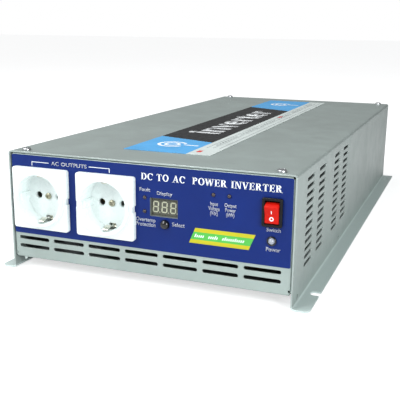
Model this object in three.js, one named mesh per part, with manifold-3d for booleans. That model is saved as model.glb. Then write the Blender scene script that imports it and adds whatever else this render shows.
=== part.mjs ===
// Power inverter in a bent-steel case: two earthed outlets, a rocker switch, a small readout
// and a select button at the front, two fans and the battery terminals at the back.
// Millimetres. x runs to the right as seen from the front, y from the front edge of the cover
// to the back, and z up from the underside of the mounting flanges.

import * as THREE from "three";
import { mergeVertices } from "three/addons/utils/BufferGeometryUtils.js";
import Module from "manifold-3d";

const wasm = await Module();
wasm.setup();

// ---------- driving dimensions ----------

const GAP = 0.3; // free space between two pieces that lie on each other
const FILM_GAP = 0.1; // the same under a stuck film

const CASE = { width: 237, depth: 513, height: 99.2, sheet: 1.2, bend: 1.8 };
const FLANGE = { reach: 12.5, corner: 3, slotY: 37.4, slotWidth: 8.4, slotInset: 4.8 };
const FLANGE_HOLE = { inset: 6.1, y: 489, radius: 2.5 };
const SKIRT_HOLES = { first: 15.2, pitch: 161.4, count: 4, height: 5.2, radius: 2.4 };
const SIDE_SLOTS = { starts: [32, 74, 136, 178.5], length: 24.5, width: 2.8 };
const SIDE_ROWS = { lowest: 24, pitch: 5.97, count: 12 };

const PANEL = { recess: 1, bottom: 10.4, lip: 12, side: 0.4, notch: 3.5, relief: 1.3 };
const FRONT_SLOTS = { firstX: -98.3, pitch: 32.26, count: 7, length: 28.2, width: 3 };
const FRONT_SLOT_HEIGHTS = [20.4, 27.4];
const LABEL = { bottom: 31.4, thickness: 0.3, inset: 0.7 };

const SOCKET = { xs: [-88.5, -30.3], z: 62.3, plate: 50, corner: 2, plateFront: -3.8, rimFront: -7.4 };
const WELL = { radius: 19.8, rim: 22.4, cup: 21.9, floor: 9.6, back: 12 };
const PIN = { spacing: 19, radius: 2.7 };
const CLIP = { width: 4.6, thickness: 0.8, groove: 6, reach: 20.3, crown: 17.6 };
const SOCKET_BASE = { size: 37, front: 13.4, back: 34, bore: 4.2 };
const RIB_HALF = 2.8; // half the height of a guide rib in an outlet
const SCREW_BORE = 1.9; // radius of every hole that a small screw goes through

const ROCKER = { x: 101.6, z: 71.2, bezelWidth: 15, bezelHeight: 21, width: 8.8, pivot: 4.2, tilt: 12 };
const ROCKER_CAVITY = { width: 9.6, height: 15.8, floor: 11, back: 16 };
const POWER_LED = { x: 101.7, z: 50.2, ring: 3.6, lens: 2.45 };
const INDICATOR = { radius: 1.5, places: [[2.2, 72.1], [2.1, 61.4], [57.1, 79.4], [69.3, 79.4]] };
const DISPLAY = { x: 17.9, z: 65.4, width: 22.4, height: 13.8, front: 2.8, back: 9.8 };
const SELECT = { x: 18.9, z: 52.8, radius: 3.4, travel: 1 };
const DISPLAY_BOARD = { left: -4.8, right: 77.2, bottom: 46, top: 84, front: 10.1, thickness: 1.6 };
const STICKER = { left: 38.5, width: 46.3, slant: 4.9, bottom: 41.4, top: 53.2 };
const TOP_LABEL = { left: -37.8, right: 38.2, front: 44, back: 484, thickness: 0.3 };

const BASE = { floor: 11.9, lipTop: 22, panelClearance: 14 };
const BOARD = { half: 111, front: 70, back: 470, bottom: 20, thickness: 1.6 };
const HEATSINK = { inner: 88, plate: 5, reach: 110, front: 84, back: 384, height: 64 };
const FINS = { count: 7, thickness: 2.4 };
const TRANSISTOR = { count: 6, pitch: 48, width: 16, height: 21, thickness: 5 };
const TRANSFORMER = { width: 56, depth: 24, height: 50, leg: 17, ys: [170, 270] };

const FAN = { xs: [-71.5, 71.5], z: 54.2, size: 80, depth: 25, bore: 38, bolts: 71.5 };
const ROTOR = { tip: 36.3, hub: 18.5, blades: 7, pitch: 48 };
const CAPACITOR = { xs: [-36, 36], y: 404, radius: 15, height: 46 };
const CHOKE = { x: 56, y: 112 };
const TERMINAL = { xs: [-16.5, 16.5], z: 62, stud: 4, width: 25, height: 32, thickness: 8.6 };
const LUG_SEAT = { pad: 2, radius: 10, room: 2.4 };
const GROUND = { z: 28, stud: 3, collar: 7, pad: 1.5, length: 18 };

const BACK_REACH = 538; // where the battery studs end
const INNER = CASE.width / 2 - CASE.sheet; // inside face of a cover wall
const PANEL_TOP = CASE.height - CASE.sheet - 0.5;
const PANEL_HALF = INNER - PANEL.side;
const PANEL_BACK = PANEL.recess + CASE.sheet;
const REAR_FACE = CASE.depth - PANEL.recess;
const BOARD_TOP = BOARD.bottom + BOARD.thickness;
const ON_LABEL = PANEL.recess - LABEL.thickness - 2 * FILM_GAP; // back of what lies on the label
const DEG = Math.PI / 180;

// ---------- solids ----------

// A closed geometry as a manifold solid, with shared vertices merged and empty triangles dropped.
function solid(geometry) {
  const bare = geometry.clone();
  bare.deleteAttribute("normal");
  bare.deleteAttribute("uv");
  const merged = mergeVertices(bare, 1e-4);
  const index = merged.index.array;
  const kept = [];
  for (let i = 0; i < index.length; i += 3) {
    const [a, b, c] = [index[i], index[i + 1], index[i + 2]];
    if (a !== b && b !== c && c !== a) kept.push(a, b, c);
  }
  const vertProperties = new Float32Array(merged.attributes.position.array);
  const mesh = new wasm.Mesh({ numProp: 3, vertProperties, triVerts: new Uint32Array(kept) });
  return new wasm.Manifold(mesh);
}

function geometryOf(body) {
  const mesh = body.getMesh();
  const geometry = new THREE.BufferGeometry();
  geometry.setAttribute("position", new THREE.BufferAttribute(mesh.vertProperties, 3));
  geometry.setIndex(new THREE.BufferAttribute(mesh.triVerts, 1));
  geometry.computeVertexNormals();
  return geometry;
}

const join = (...bodies) => bodies.flat(Infinity).reduce((sum, body) => sum.add(body));
const cut = (body, ...tools) => tools.flat(Infinity).reduce((rest, tool) => rest.subtract(tool), body);

function box(x0, x1, y0, y1, z0, z1) {
  const geometry = new THREE.BoxGeometry(x1 - x0, y1 - y0, z1 - z0);
  geometry.translate((x0 + x1) / 2, (y0 + y1) / 2, (z0 + z1) / 2);
  return solid(geometry);
}

// Round rods along each axis, given by the two other coordinates of the axis line.
function rodY(x, z, y0, y1, radius, sides = 12) {
  const geometry = new THREE.CylinderGeometry(radius, radius, y1 - y0, sides);
  geometry.translate(x, (y0 + y1) / 2, z);
  return solid(geometry);
}

function rodX(y, z, x0, x1, radius, sides = 12) {
  const geometry = new THREE.CylinderGeometry(radius, radius, x1 - x0, sides);
  geometry.rotateZ(Math.PI / 2);
  geometry.translate((x0 + x1) / 2, y, z);
  return solid(geometry);
}

function rodZ(x, y, z0, z1, radius, sides = 12) {
  const geometry = new THREE.CylinderGeometry(radius, radius, z1 - z0, sides);
  geometry.rotateX(Math.PI / 2);
  geometry.translate(x, y, (z0 + z1) / 2);
  return solid(geometry);
}

// A body turned about the y axis. The profile lists [radius, y] with y rising.
function turned(profile, sides = 16) {
  const points = profile.map(([radius, y]) => new THREE.Vector2(radius, y));
  return solid(new THREE.LatheGeometry(points, sides));
}

function shapeOf(points) {
  return new THREE.Shape(points.map(([a, b]) => new THREE.Vector2(a, b)));
}

// Extrusions of a flat shape: drawn in x and z and running back, drawn in y and z and running
// right, or drawn in x and y and running up.
function slabY(shape, y0, y1, curveSegments = 3) {
  const settings = { depth: y1 - y0, bevelEnabled: false, curveSegments };
  const geometry = new THREE.ExtrudeGeometry(shape, settings);
  geometry.rotateX(Math.PI / 2);
  geometry.translate(0, y1, 0);
  return solid(geometry);
}

function slabX(shape, x0, x1) {
  const geometry = new THREE.ExtrudeGeometry(shape, { depth: x1 - x0, bevelEnabled: false });
  geometry.applyMatrix4(new THREE.Matrix4().set(0, 0, 1, x0, 1, 0, 0, 0, 0, 1, 0, 0, 0, 0, 0, 1));
  return solid(geometry);
}

function slabZ(shape, z0, z1) {
  const geometry = new THREE.ExtrudeGeometry(shape, { depth: z1 - z0, bevelEnabled: false });
  geometry.translate(0, 0, z0);
  return solid(geometry);
}

function roundedRectangle(width, height, radius) {
  const [a, b] = [width / 2, height / 2];
  const shape = new THREE.Shape();
  shape.moveTo(-a + radius, -b);
  shape.lineTo(a - radius, -b);
  shape.absarc(a - radius, -b + radius, radius, -90 * DEG, 0);
  shape.lineTo(a, b - radius);
  shape.absarc(a - radius, b - radius, radius, 0, 90 * DEG);
  shape.lineTo(-a + radius, b);
  shape.absarc(-a + radius, b - radius, radius, 90 * DEG, 180 * DEG);
  shape.lineTo(-a, -b + radius);
  shape.absarc(-a + radius, -b + radius, radius, 180 * DEG, 270 * DEG);
  return shape;
}

// The outline of bent sheet: a path of straight runs along the middle of the sheet, with each
// corner rounded to the given middle radius, given the sheet's thickness.
function bentSheet(path, thickness, radius, steps = 3) {
  const points = path.map(([a, b]) => new THREE.Vector2(a, b));
  const middle = [];
  const sides = [];
  const heading = (i) => points[i + 1].clone().sub(points[i]).normalize();
  const place = (point, direction) => {
    middle.push(point);
    sides.push(new THREE.Vector2(-direction.y, direction.x).multiplyScalar(thickness / 2));
  };
  place(points[0], heading(0));
  for (let i = 1; i < points.length - 1; i += 1) {
    const [before, after] = [heading(i - 1), heading(i)];
    const turn = Math.atan2(before.cross(after), before.dot(after));
    const start = points[i].clone().addScaledVector(before, -radius * Math.tan(Math.abs(turn) / 2));
    const toCentre = new THREE.Vector2(-before.y, before.x).multiplyScalar(Math.sign(turn) * radius);
    const centre = start.clone().add(toCentre);
    for (let step = 0; step <= steps; step += 1) {
      const angle = (turn * step) / steps;
      const point = start.clone().rotateAround(centre, angle);
      place(point, before.clone().rotateAround(new THREE.Vector2(), angle));
    }
  }
  place(points[points.length - 1], heading(points.length - 2));
  const left = middle.map((point, i) => point.clone().add(sides[i]));
  const right = middle.map((point, i) => point.clone().sub(sides[i]));
  return new THREE.Shape([...right, ...left.reverse()]);
}

const bothSides = (make) => [make(-1), make(1)];
const series = (count, make) => Array.from({ length: count }, (_, i) => make(i));

// ---------- case ----------

function topCover() {
  const half = CASE.width / 2 - CASE.sheet / 2;
  const [low, high] = [CASE.sheet / 2, CASE.height - CASE.sheet / 2];
  const edge = CASE.width / 2 + FLANGE.reach;
  const path = [[-edge, low], [-half, low], [-half, high], [half, high], [half, low], [edge, low]];
  const sheet = slabY(bentSheet(path, CASE.sheet, CASE.bend), 0, CASE.depth);
  return cut(sheet, bothSides(sideSlots), bothSides(flangeCuts), bothSides(skirtHoles), screwHoles());
}

function sideSlots(side) {
  const wall = (side * CASE.width) / 2;
  const slots = SIDE_SLOTS.starts.map((start) =>
    series(SIDE_ROWS.count, (row) => {
      const z = SIDE_ROWS.lowest + row * SIDE_ROWS.pitch;
      const half = SIDE_SLOTS.width / 2;
      return box(wall - 3, wall + 3, start, start + SIDE_SLOTS.length, z - half, z + half);
    }),
  );
  return join(slots.flat());
}

// The open-ended fixing slot, the rear fixing hole and the cut front corner of one flange.
function flangeCuts(side) {
  const edge = CASE.width / 2 + FLANGE.reach;
  const slotX = CASE.width / 2 + FLANGE.slotInset + FLANGE.slotWidth / 2;
  const half = FLANGE.slotWidth / 2;
  const mouth = [side * slotX, side * (edge + 2)].sort((a, b) => a - b);
  const [near, far] = [side * (edge - FLANGE.corner), side * (edge + 1)];
  const corner = shapeOf([[near, -1], [far, -1], [far, FLANGE.corner]]);
  return join(
    rodZ(side * slotX, FLANGE.slotY, -1, 3, half, 16),
    box(mouth[0], mouth[1], FLANGE.slotY - half, FLANGE.slotY + half, -1, 3),
    rodZ(side * (CASE.width / 2 + FLANGE_HOLE.inset), FLANGE_HOLE.y, -1, 3, FLANGE_HOLE.radius),
    slabZ(corner, -1, 3),
  );
}

function skirtHoles(side) {
  const wall = (side * CASE.width) / 2;
  const holes = series(SKIRT_HOLES.count, (i) => {
    const y = SKIRT_HOLES.first + i * SKIRT_HOLES.pitch;
    return rodX(y, SKIRT_HOLES.height, wall - 3, wall + 3, SKIRT_HOLES.radius);
  });
  return join(holes);
}

const COVER_SCREW_PLACES = [-105.5, 105.5].flatMap((x) => [6.5, CASE.depth - 6.5].map((y) => [x, y]));

function screwHoles() {
  const hole = ([x, y]) => rodZ(x, y, PANEL_TOP - 3, CASE.height + 1, SCREW_BORE, 8);
  return join(COVER_SCREW_PLACES.map(hole));
}

function coverScrew() {
  const half = [[0, -4.4], [1.5, -4.4], [1.5, 0], [3.6, 0], [3.6, 1], [2.4, 2.2], [0, 2.2]];
  const points = half.map(([radius, height]) => new THREE.Vector2(radius, height));
  return solid(new THREE.LatheGeometry(points, 10).rotateX(Math.PI / 2));
}

// The floor tray with its six pressed-in posts for the main board.
function chassisBase() {
  const half = INNER - 0.5 - CASE.sheet / 2;
  const low = BASE.floor + CASE.sheet / 2;
  const path = [[-half, BASE.lipTop], [-half, low], [half, low], [half, BASE.lipTop]];
  const tray = bentSheet(path, CASE.sheet, CASE.bend);
  const reach = half - CASE.bend;
  const [front, back] = [PANEL_BACK + CASE.bend, CASE.depth - PANEL_BACK - CASE.bend];
  const top = BOARD.bottom - GAP;
  const post = ([x, y]) => rodZ(x, y, BASE.floor + 0.5, top, 3.2, 6);
  const bore = ([x, y]) => rodZ(x, y, top - 4, top + 1, SCREW_BORE, 6);
  const sheet = join(
    slabY(tray, BASE.panelClearance, CASE.depth - BASE.panelClearance),
    box(-reach, reach, front, back, BASE.floor, BASE.floor + CASE.sheet),
  );
  return cut(join(sheet, BOARD_HOLES.map(post)), BOARD_HOLES.map(bore));
}

// A closing panel for either end: a plate with folded lips all round and a round relief notch
// at each corner where two folds meet.
function panelBlank() {
  const plate = PANEL.recess + CASE.sheet / 2;
  const [low, high] = [PANEL.bottom + CASE.sheet / 2, PANEL_TOP - CASE.sheet / 2];
  const back = PANEL.recess + PANEL.lip;
  const side = PANEL_HALF - CASE.sheet / 2;
  const upright = [[back, low], [plate, low], [plate, high], [back, high]];
  const level = [[-side, back], [-side, plate], [side, plate], [side, back]];
  const narrow = PANEL_HALF - CASE.sheet - 0.6;
  const [notchLow, notchHigh] = [PANEL.bottom + PANEL.notch, PANEL_TOP - 1.4];
  const notch = (x, z) => rodY(x, z, 0, PANEL_BACK + 2, PANEL.relief, 10);
  const notches = [-side, side].flatMap((x) => [notchLow, notchHigh].map((z) => notch(x, z)));
  const folded = (path) => bentSheet(path, CASE.sheet, CASE.bend);
  const sheet = join(
    slabX(folded(upright), -narrow, narrow),
    slabZ(folded(level), notchLow, notchHigh),
  );
  return cut(sheet, notches, screwHoles());
}

// Everything that passes through the front panel and its label, with room of its own.
function frontOpenings(y0, y1) {
  const sockets = SOCKET.xs.map((x) => rodY(x, SOCKET.z, y0, y1, WELL.cup + 0.5, 24));
  const lamps = INDICATOR.places.map(([x, z]) => rodY(x, z, y0, y1, INDICATOR.radius + 0.3, 8));
  const [w, h] = [6.8, 9.8];
  const [dw, dh] = [DISPLAY.width / 2 + 0.3, DISPLAY.height / 2 + 0.3];
  return join(
    sockets,
    lamps,
    box(ROCKER.x - w, ROCKER.x + w, y0, y1, ROCKER.z - h, ROCKER.z + h),
    rodY(POWER_LED.x, POWER_LED.z, y0, y1, POWER_LED.lens + 0.75, 12),
    box(DISPLAY.x - dw, DISPLAY.x + dw, y0, y1, DISPLAY.z - dh, DISPLAY.z + dh),
    rodY(SELECT.x, SELECT.z, y0, y1, SELECT.radius + 0.35, 12),
  );
}

function frontPanel() {
  const slots = FRONT_SLOT_HEIGHTS.flatMap((z) =>
    series(FRONT_SLOTS.count, (i) => {
      const x = FRONT_SLOTS.firstX + i * FRONT_SLOTS.pitch;
      const [a, b] = [FRONT_SLOTS.length / 2, FRONT_SLOTS.width / 2];
      return box(x - a, x + a, 0, 4, z - b, z + b);
    }),
  );
  return cut(panelBlank(), slots, frontOpenings(0, 4));
}

function rearPanel() {
  const ducts = FAN.xs.map((x) => rodY(x, FAN.z, 0, 4, FAN.bore - 0.5, 24));
  const bolts = fanBoltPlaces().map(([x, z]) => rodY(x, z, 0, 4, 2.2, 8));
  const studs = TERMINAL.xs.map((x) => rodY(x, TERMINAL.z, 0, 4, 7.6, 12));
  return cut(panelBlank(), ducts, bolts, studs, rodY(0, GROUND.z, 0, 4, GROUND.stud + 0.3, 10));
}

function frontLabel() {
  const back = PANEL.recess - FILM_GAP;
  const half = PANEL_HALF - LABEL.inset;
  const film = box(-half, half, back - LABEL.thickness, back, LABEL.bottom, PANEL_TOP - LABEL.inset);
  return cut(film, frontOpenings(0, 4));
}

function topLabel() {
  const { left, right, front, back, thickness } = TOP_LABEL;
  const base = CASE.height + FILM_GAP;
  return box(left, right, front, back, base, base + thickness);
}

function featureSticker() {
  const { left, width, slant, bottom, top } = STICKER;
  const right = left + width;
  const outline = [[left, bottom], [right, bottom], [right + slant, top], [left + slant, top]];
  return slabY(shapeOf(outline), ON_LABEL - 0.2, ON_LABEL);
}

// ---------- outlets, each drawn about its own centre ----------

// The white moulding of an outlet: square plate, raised round rim and deep round well.
function socketCover() {
  const { plate, plateFront, rimFront, corner } = SOCKET;
  const { radius, rim, cup, floor, back } = WELL;
  const square = slabY(roundedRectangle(plate, plate, corner), plateFront, ON_LABEL);
  const shoulder = plateFront + 0.5;
  const outside = turned([
    [0, rimFront],
    [rim - 1.4, rimFront],
    [rim - 0.3, rimFront + 1.2],
    [rim, shoulder],
    [cup, shoulder],
    [cup, back],
    [0, back],
  ], 24);
  const well = turned([
    [0, rimFront - 1],
    [radius + 1, rimFront - 1],
    [radius, rimFront + 1],
    [radius, floor],
    [0, floor],
  ], 24);
  const ribs = bothSides((side) => {
    const [a, b] = [side * (radius - 1.7), side * (radius + 0.8)].sort((p, q) => p - q);
    return box(a, b, plateFront, floor + 0.5, -RIB_HALF, RIB_HALF);
  });
  const grooves = bothSides((side) => {
    const [a, b] = [side * (CLIP.crown - 1.4), side * (CLIP.reach + 1.1)].sort((p, q) => p - q);
    return box(-CLIP.groove / 2, CLIP.groove / 2, plateFront - 1, back + 1, a, b);
  });
  const pins = bothSides((side) => rodY((side * PIN.spacing) / 2, 0, floor - 1, back + 1, PIN.radius));
  const notches = bothSides((side) => {
    const edge = (side * plate) / 2;
    return box(edge - 0.9, edge + 0.9, plateFront - 1, 2, -2.5, 2.5);
  });
  const screw = rodY(0, 0, floor - 1, back + 1, SCREW_BORE, 10);
  const hollow = cut(join(square, outside), well);
  return cut(join(hollow, ribs), grooves, pins, notches, screw);
}

// The moulded base behind an outlet, with two deep holes for the contacts.
function socketBase() {
  const { size, front, back, bore } = SOCKET_BASE;
  const block = slabY(roundedRectangle(size, size, 5), front, back);
  const bores = bothSides((side) => rodY((side * PIN.spacing) / 2, 0, front - 1, back - 4, bore));
  return cut(block, bores, rodY(0, 0, front - 1, back - 8, SCREW_BORE, 8));
}

// One springy strap runs behind the well, and its two ends come forward as the earth clips.
function earthStrap() {
  const back = WELL.back + GAP + CLIP.thickness / 2;
  const arm = [[-3, CLIP.reach - 0.2], [3, CLIP.crown], [9, CLIP.reach], [back, CLIP.reach]];
  const path = [...arm, ...arm.map(([y, z]) => [y, -z]).reverse()];
  const strip = slabX(bentSheet(path, CLIP.thickness, 1.2, 2), -CLIP.width / 2, CLIP.width / 2);
  const half = CLIP.thickness / 2;
  const pad = box(-4.5, 4.5, back - half, back + half, -6, 6);
  return cut(join(strip, pad), rodY(0, 0, WELL.back, SOCKET_BASE.front, 2, 8));
}

function socketScrew() {
  return turned([[0, 7.6], [2.6, 7.6], [3.1, 8.4], [3.1, 9.3], [1.5, 9.3], [1.5, 24], [0, 24]], 10);
}

// ---------- rocker switch, drawn about its own centre with the panel's y ----------

function rockerHousing() {
  const { bezelWidth, bezelHeight } = ROCKER;
  const { width, height, floor, back } = ROCKER_CAVITY;
  const bezel = slabY(roundedRectangle(bezelWidth, bezelHeight, 1.2), -1.8, ON_LABEL);
  const body = box(-6.4, 6.4, ON_LABEL - 0.5, back, -9.3, 9.3);
  const cavity = box(-width / 2, width / 2, -3, floor, -height / 2, height / 2);
  const blades = [-5, 3].map((z) => box(-2.4, 2.4, back - 1, back + 8, z - 0.4, z + 0.4));
  return cut(join(bezel, body, blades), cavity, rodX(ROCKER.pivot, 0, -8, 8, 1.8, 12));
}

// The paddle is drawn level about its pivot and then tilted to the off position, in which its
// lower half is pressed in.
function rockerButton() {
  const outline = [[-6.8, 0], [-7.6, 6], [-2, 7.2], [3, 4], [3, -4], [-2, -7.2], [-7.6, -6]];
  const half = ROCKER.width / 2;
  const paddle = slabX(shapeOf(outline.reverse()), -half, half);
  const pins = rodX(0, 0, -half - 1.6, half + 1.6, 1.5, 12);
  return join(paddle, pins).rotate([ROCKER.tilt, 0, 0]);
}

// ---------- lamps, display and select button ----------

function powerLedRing() {
  const { ring, lens } = POWER_LED;
  const [bore, sleeve] = [lens + 0.2, lens + 0.6];
  const rim = [[bore, -0.8], [ring - 0.4, -0.8], [ring, -0.2], [ring, ON_LABEL]];
  const tube = [[sleeve, ON_LABEL], [sleeve, 5], [bore, 5], [bore, -0.8]];
  return turned([...rim, ...tube]);
}

function powerLedLens() {
  const radius = POWER_LED.lens;
  const dome = [[0, -2.6], [radius * 0.6, -2.1], [radius * 0.92, -1.2], [radius, 0]];
  return turned([...dome, [radius, 6.6], [0, 6.6]], 12);
}

function indicatorLed() {
  const radius = INDICATOR.radius;
  const [foot, back] = [1.9, 5.6];
  const dome = [[0, -0.6], [radius * 0.7, -0.2], [radius, 0.6], [radius, back - 1]];
  return turned([...dome, [foot, back - 1], [foot, back], [0, back]], 8);
}

function displayModule() {
  const [w, h] = [DISPLAY.width / 2, DISPLAY.height / 2];
  return box(DISPLAY.x - w, DISPLAY.x + w, DISPLAY.front, DISPLAY.back, DISPLAY.z - h, DISPLAY.z + h);
}

function displayBoard() {
  const { left, right, bottom, top, front, thickness } = DISPLAY_BOARD;
  const plate = box(left, right, front, front + thickness, bottom, top);
  const hole = (x, z) => rodY(x, z, front - 1, front + 3, 1.6, 8);
  const corners = [left + 4, right - 4].flatMap((x) => [bottom + 4, top - 4].map((z) => hole(x, z)));
  return cut(plate, corners);
}

// The cap slides in the panel's hole; a collar behind the panel keeps it in.
function selectButton() {
  const radius = SELECT.radius;
  const collar = radius + 1;
  return turned([
    [0, -2.8], [radius * 0.55, -2.5], [radius * 0.88, -1.7], [radius, -0.6], [radius, PANEL_BACK + GAP],
    [collar, PANEL_BACK + GAP], [collar, PANEL_BACK + 1.4], [0, PANEL_BACK + 1.4],
  ]);
}

function selectSwitch() {
  const back = DISPLAY_BOARD.front - GAP;
  const plungerTip = PANEL_BACK + 1.4 + SELECT.travel + GAP;
  return join(box(-3, 3, 6.4, back, -3, 3), rodY(0, 0, plungerTip, 7, 1.7, 10));
}

// ---------- electronics ----------

const BOARD_HOLES = [-104, 104].flatMap((x) => [78, 270, 462].map((y) => [x, y]));

function mainBoard() {
  const plate = box(-BOARD.half, BOARD.half, BOARD.front, BOARD.back, BOARD.bottom, BOARD_TOP);
  const hole = ([x, y]) => rodZ(x, y, BOARD.bottom - 1, BOARD_TOP + 1, SCREW_BORE, 8);
  return cut(plate, BOARD_HOLES.map(hole));
}

// A comb extrusion: an upright plate with fins reaching out to the case wall.
function heatsink(side) {
  const { inner, plate, reach, height } = HEATSINK;
  const low = BOARD_TOP + GAP + 6;
  const fin = FINS.thickness;
  const pitch = (height - fin) / (FINS.count - 1);
  const comb = [[inner, low], [inner, low + height]];
  for (let i = FINS.count - 1; i >= 0; i -= 1) {
    const z = low + i * pitch;
    comb.push([reach, z + fin], [reach, z]);
    if (i > 0) comb.push([inner + plate, z], [inner + plate, z - pitch + fin]);
  }
  const feet = [[inner, low - 6], [inner, low + 1], [inner + plate, low + 1], [inner + plate, low - 6]];
  const ends = [HEATSINK.front, HEATSINK.back - 14];
  const outline = (points) => shapeOf(points.map(([x, z]) => [side * x, z]));
  return join(
    slabY(outline(comb), HEATSINK.front, HEATSINK.back),
    ends.map((y) => slabY(outline(feet), y, y + 14)),
  );
}

// Six transistors in a row against a heatsink, under the bar that clamps them.
function transistorBank(side) {
  const { count, pitch, width, height, thickness } = TRANSISTOR;
  const face = HEATSINK.inner - GAP;
  const low = BOARD_TOP + 12;
  const between = (a, b, ...rest) => {
    const [near, far] = [side * a, side * b].sort((p, q) => p - q);
    return box(near, far, ...rest);
  };
  const firstY = HEATSINK.front + 22;
  const transistor = (i) => {
    const y = firstY + i * pitch;
    const half = width / 2;
    return join(
      between(face - thickness, face, y - half, y + half, low, low + height),
      between(face - 2.8, face - 2, y - 6, y + 6, BOARD_TOP + GAP, low + 1),
    );
  };
  const lastY = firstY + (count - 1) * pitch;
  const front = face - thickness;
  const bar = between(front - 3, front + 0.5, firstY - width, lastY + width, low + 8, low + 14);
  return join(bar, series(count, transistor));
}

// The transformers are drawn about their own centres on the board.
function transformerCore() {
  const { width, depth, height, leg } = TRANSFORMER;
  const block = box(-width / 2, width / 2, -depth / 2, depth / 2, 0, height);
  const [near, far] = [leg / 2, width / 2 - 8];
  const windows = [[-far, -near], [near, far]].map(([a, b]) => box(a, b, -depth, depth, 9, height - 9));
  return cut(block, windows);
}

function transformerWinding() {
  const { width, depth, height, leg } = TRANSFORMER;
  const [outerX, outerY] = [width / 2 - 9, depth / 2 + 10];
  const [innerX, innerY] = [leg / 2 + 0.8, depth / 2 + 0.8];
  return cut(
    box(-outerX, outerX, -outerY, outerY, 10, height - 10),
    box(-innerX, innerX, -innerY, innerY, 0, height),
  );
}

function busCapacitor() {
  return rodZ(0, 0, 0, CAPACITOR.height, CAPACITOR.radius, 14);
}

function outputChoke() {
  return solid(new THREE.TorusGeometry(19, 8, 8, 14));
}

// An upright board with four chips soldered to its front.
function controlBoard() {
  const [front, back] = [78, 79.6];
  const chips = [[-70, 12, 14], [-46, 20, 10], [-16, 14, 14], [4, 12, 8]].map(([x, width, height], i) => {
    const z = BOARD_TOP + 16 + (i % 2) * 16;
    return box(x - width / 2, x + width / 2, front - 2.6, front + 0.5, z, z + height);
  });
  return join(box(-84, 16, front, back, BOARD_TOP + GAP, BOARD_TOP + 52), chips);
}

// A copper bar from the inner end of a battery stud down to the main board.
function dcBusbar() {
  const z = TERMINAL.z;
  const path = [[501, z + 8], [501, z - 24], [464, z - 24], [464, BOARD_TOP + GAP]];
  const strip = slabX(bentSheet(path, 2, 3, 2), -8, 8);
  return cut(strip, rodY(0, z, 498, 504, TERMINAL.stud + GAP, 10));
}

// ---------- fans, each drawn about its own axis, with the outer face at y = 0 ----------

// The four bolt places of a fan about its own axis, as [x, z].
const FAN_BOLTS = [-1, 1].flatMap((a) => [-1, 1].map((b) => [(a * FAN.bolts) / 2, (b * FAN.bolts) / 2]));

function fanBoltPlaces() {
  return FAN.xs.flatMap((x) => FAN_BOLTS.map(([a, b]) => [x + a, FAN.z + b]));
}

function fanFrame() {
  const { size, depth, bore } = FAN;
  const back = -depth - 1;
  const frame = slabY(roundedRectangle(size, size, 4), -depth, 0, 2);
  const bolts = FAN_BOLTS.map(([x, z]) => rodY(x, z, back, 1, 2.2, 8));
  const duct = rodY(0, 0, back, 1, bore, 24);
  const strut = (angle) => box(-bore - 1, bore + 1, -depth, -depth + 3, -2, 2).rotate([0, angle, 0]);
  const plate = rodY(0, 0, -depth, -depth + 4, 16, 16);
  const bearing = rodY(0, 0, back, -depth + 6, 2.1);
  return cut(join(cut(frame, duct), [45, 135].map(strut), plate), bolts, bearing);
}

function fanRotor() {
  const { hub, tip, blades, pitch } = ROTOR;
  const front = -1.5;
  const back = -FAN.depth + 5;
  const cap = turned([[0, back], [hub, back], [hub, front - 1.2], [hub - 1.2, front], [0, front]]);
  const spindle = rodY(0, 0, -FAN.depth + 0.5, back + 1, 2);
  const blade = box(-0.8, 0.8, -8.6, 8.6, hub - 1.5, tip);
  const pitched = blade.rotate([0, 0, pitch]).translate([0, (front + back) / 2, 0]);
  return join(cap, spindle, series(blades, (i) => pitched.rotate([0, (360 * i) / blades, 0])));
}

// Three wire rings on four spokes, with an eye under each fan screw.
function fanGuard() {
  const wire = 0.8;
  const [y0, y1] = [GAP, GAP + 2 * wire];
  const ring = (radius) => {
    const [inside, outside] = [radius - wire, radius + wire];
    return turned([[inside, y0], [outside, y0], [outside, y1], [inside, y1], [inside, y0]]);
  };
  const reach = FAN.bolts / Math.SQRT2;
  const spokes = [45, 135].map((angle) => box(-reach, reach, y0, y1, -wire, wire).rotate([0, angle, 0]));
  const eyes = FAN_BOLTS.map(([x, z]) => rodY(x, z, y0, y1, 4.2, 8));
  const holes = FAN_BOLTS.map(([x, z]) => rodY(x, z, y0 - 1, y1 + 1, 2.2, 6));
  return cut(join([12, 24, 36].map(ring), spokes, eyes), holes);
}

// ---------- battery and earth terminals, each drawn about its stud ----------

const BLOCK_BACK = REAR_FACE + GAP + TERMINAL.thickness;

function terminalBlock() {
  const { width, height, stud } = TERMINAL;
  const block = slabY(roundedRectangle(width, height, 5), REAR_FACE + GAP, BLOCK_BACK);
  const sleeve = rodY(0, 0, REAR_FACE - 5, REAR_FACE + 1, 7.2, 12);
  return cut(join(block, sleeve), rodY(0, 0, REAR_FACE - 6, BLOCK_BACK + 1, stud + GAP, 12));
}

// A threaded stud with the round pad that a cable lug is clamped against.
function terminalStud() {
  const { pad, radius } = LUG_SEAT;
  const [start, shaft] = [BLOCK_BACK + GAP, TERMINAL.stud];
  return turned([
    [0, 494],
    [shaft, 494],
    [shaft, start],
    [radius, start],
    [radius, start + pad],
    [shaft, start + pad],
    [shaft, BACK_REACH - 1],
    [shaft - 1, BACK_REACH],
    [0, BACK_REACH],
  ], 14);
}

// A hexagon nut with a round flange at its foot, starting at y = seat.
function flangeNut(bore, acrossCorners, flange, seat, height) {
  const foot = rodY(0, 0, seat, seat + 1.6, flange, 14);
  const hexagon = rodY(0, 0, seat + 1, seat + height, acrossCorners, 6);
  return cut(join(foot, hexagon), rodY(0, 0, seat - 1, seat + height + 1, bore));
}

// The nuts are backed off, so that a lug slips between each nut and its pad.
function terminalNut() {
  const seat = BLOCK_BACK + GAP + LUG_SEAT.pad + LUG_SEAT.room;
  return flangeNut(TERMINAL.stud + GAP, 7.5, 8.4, seat, 8);
}

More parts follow.
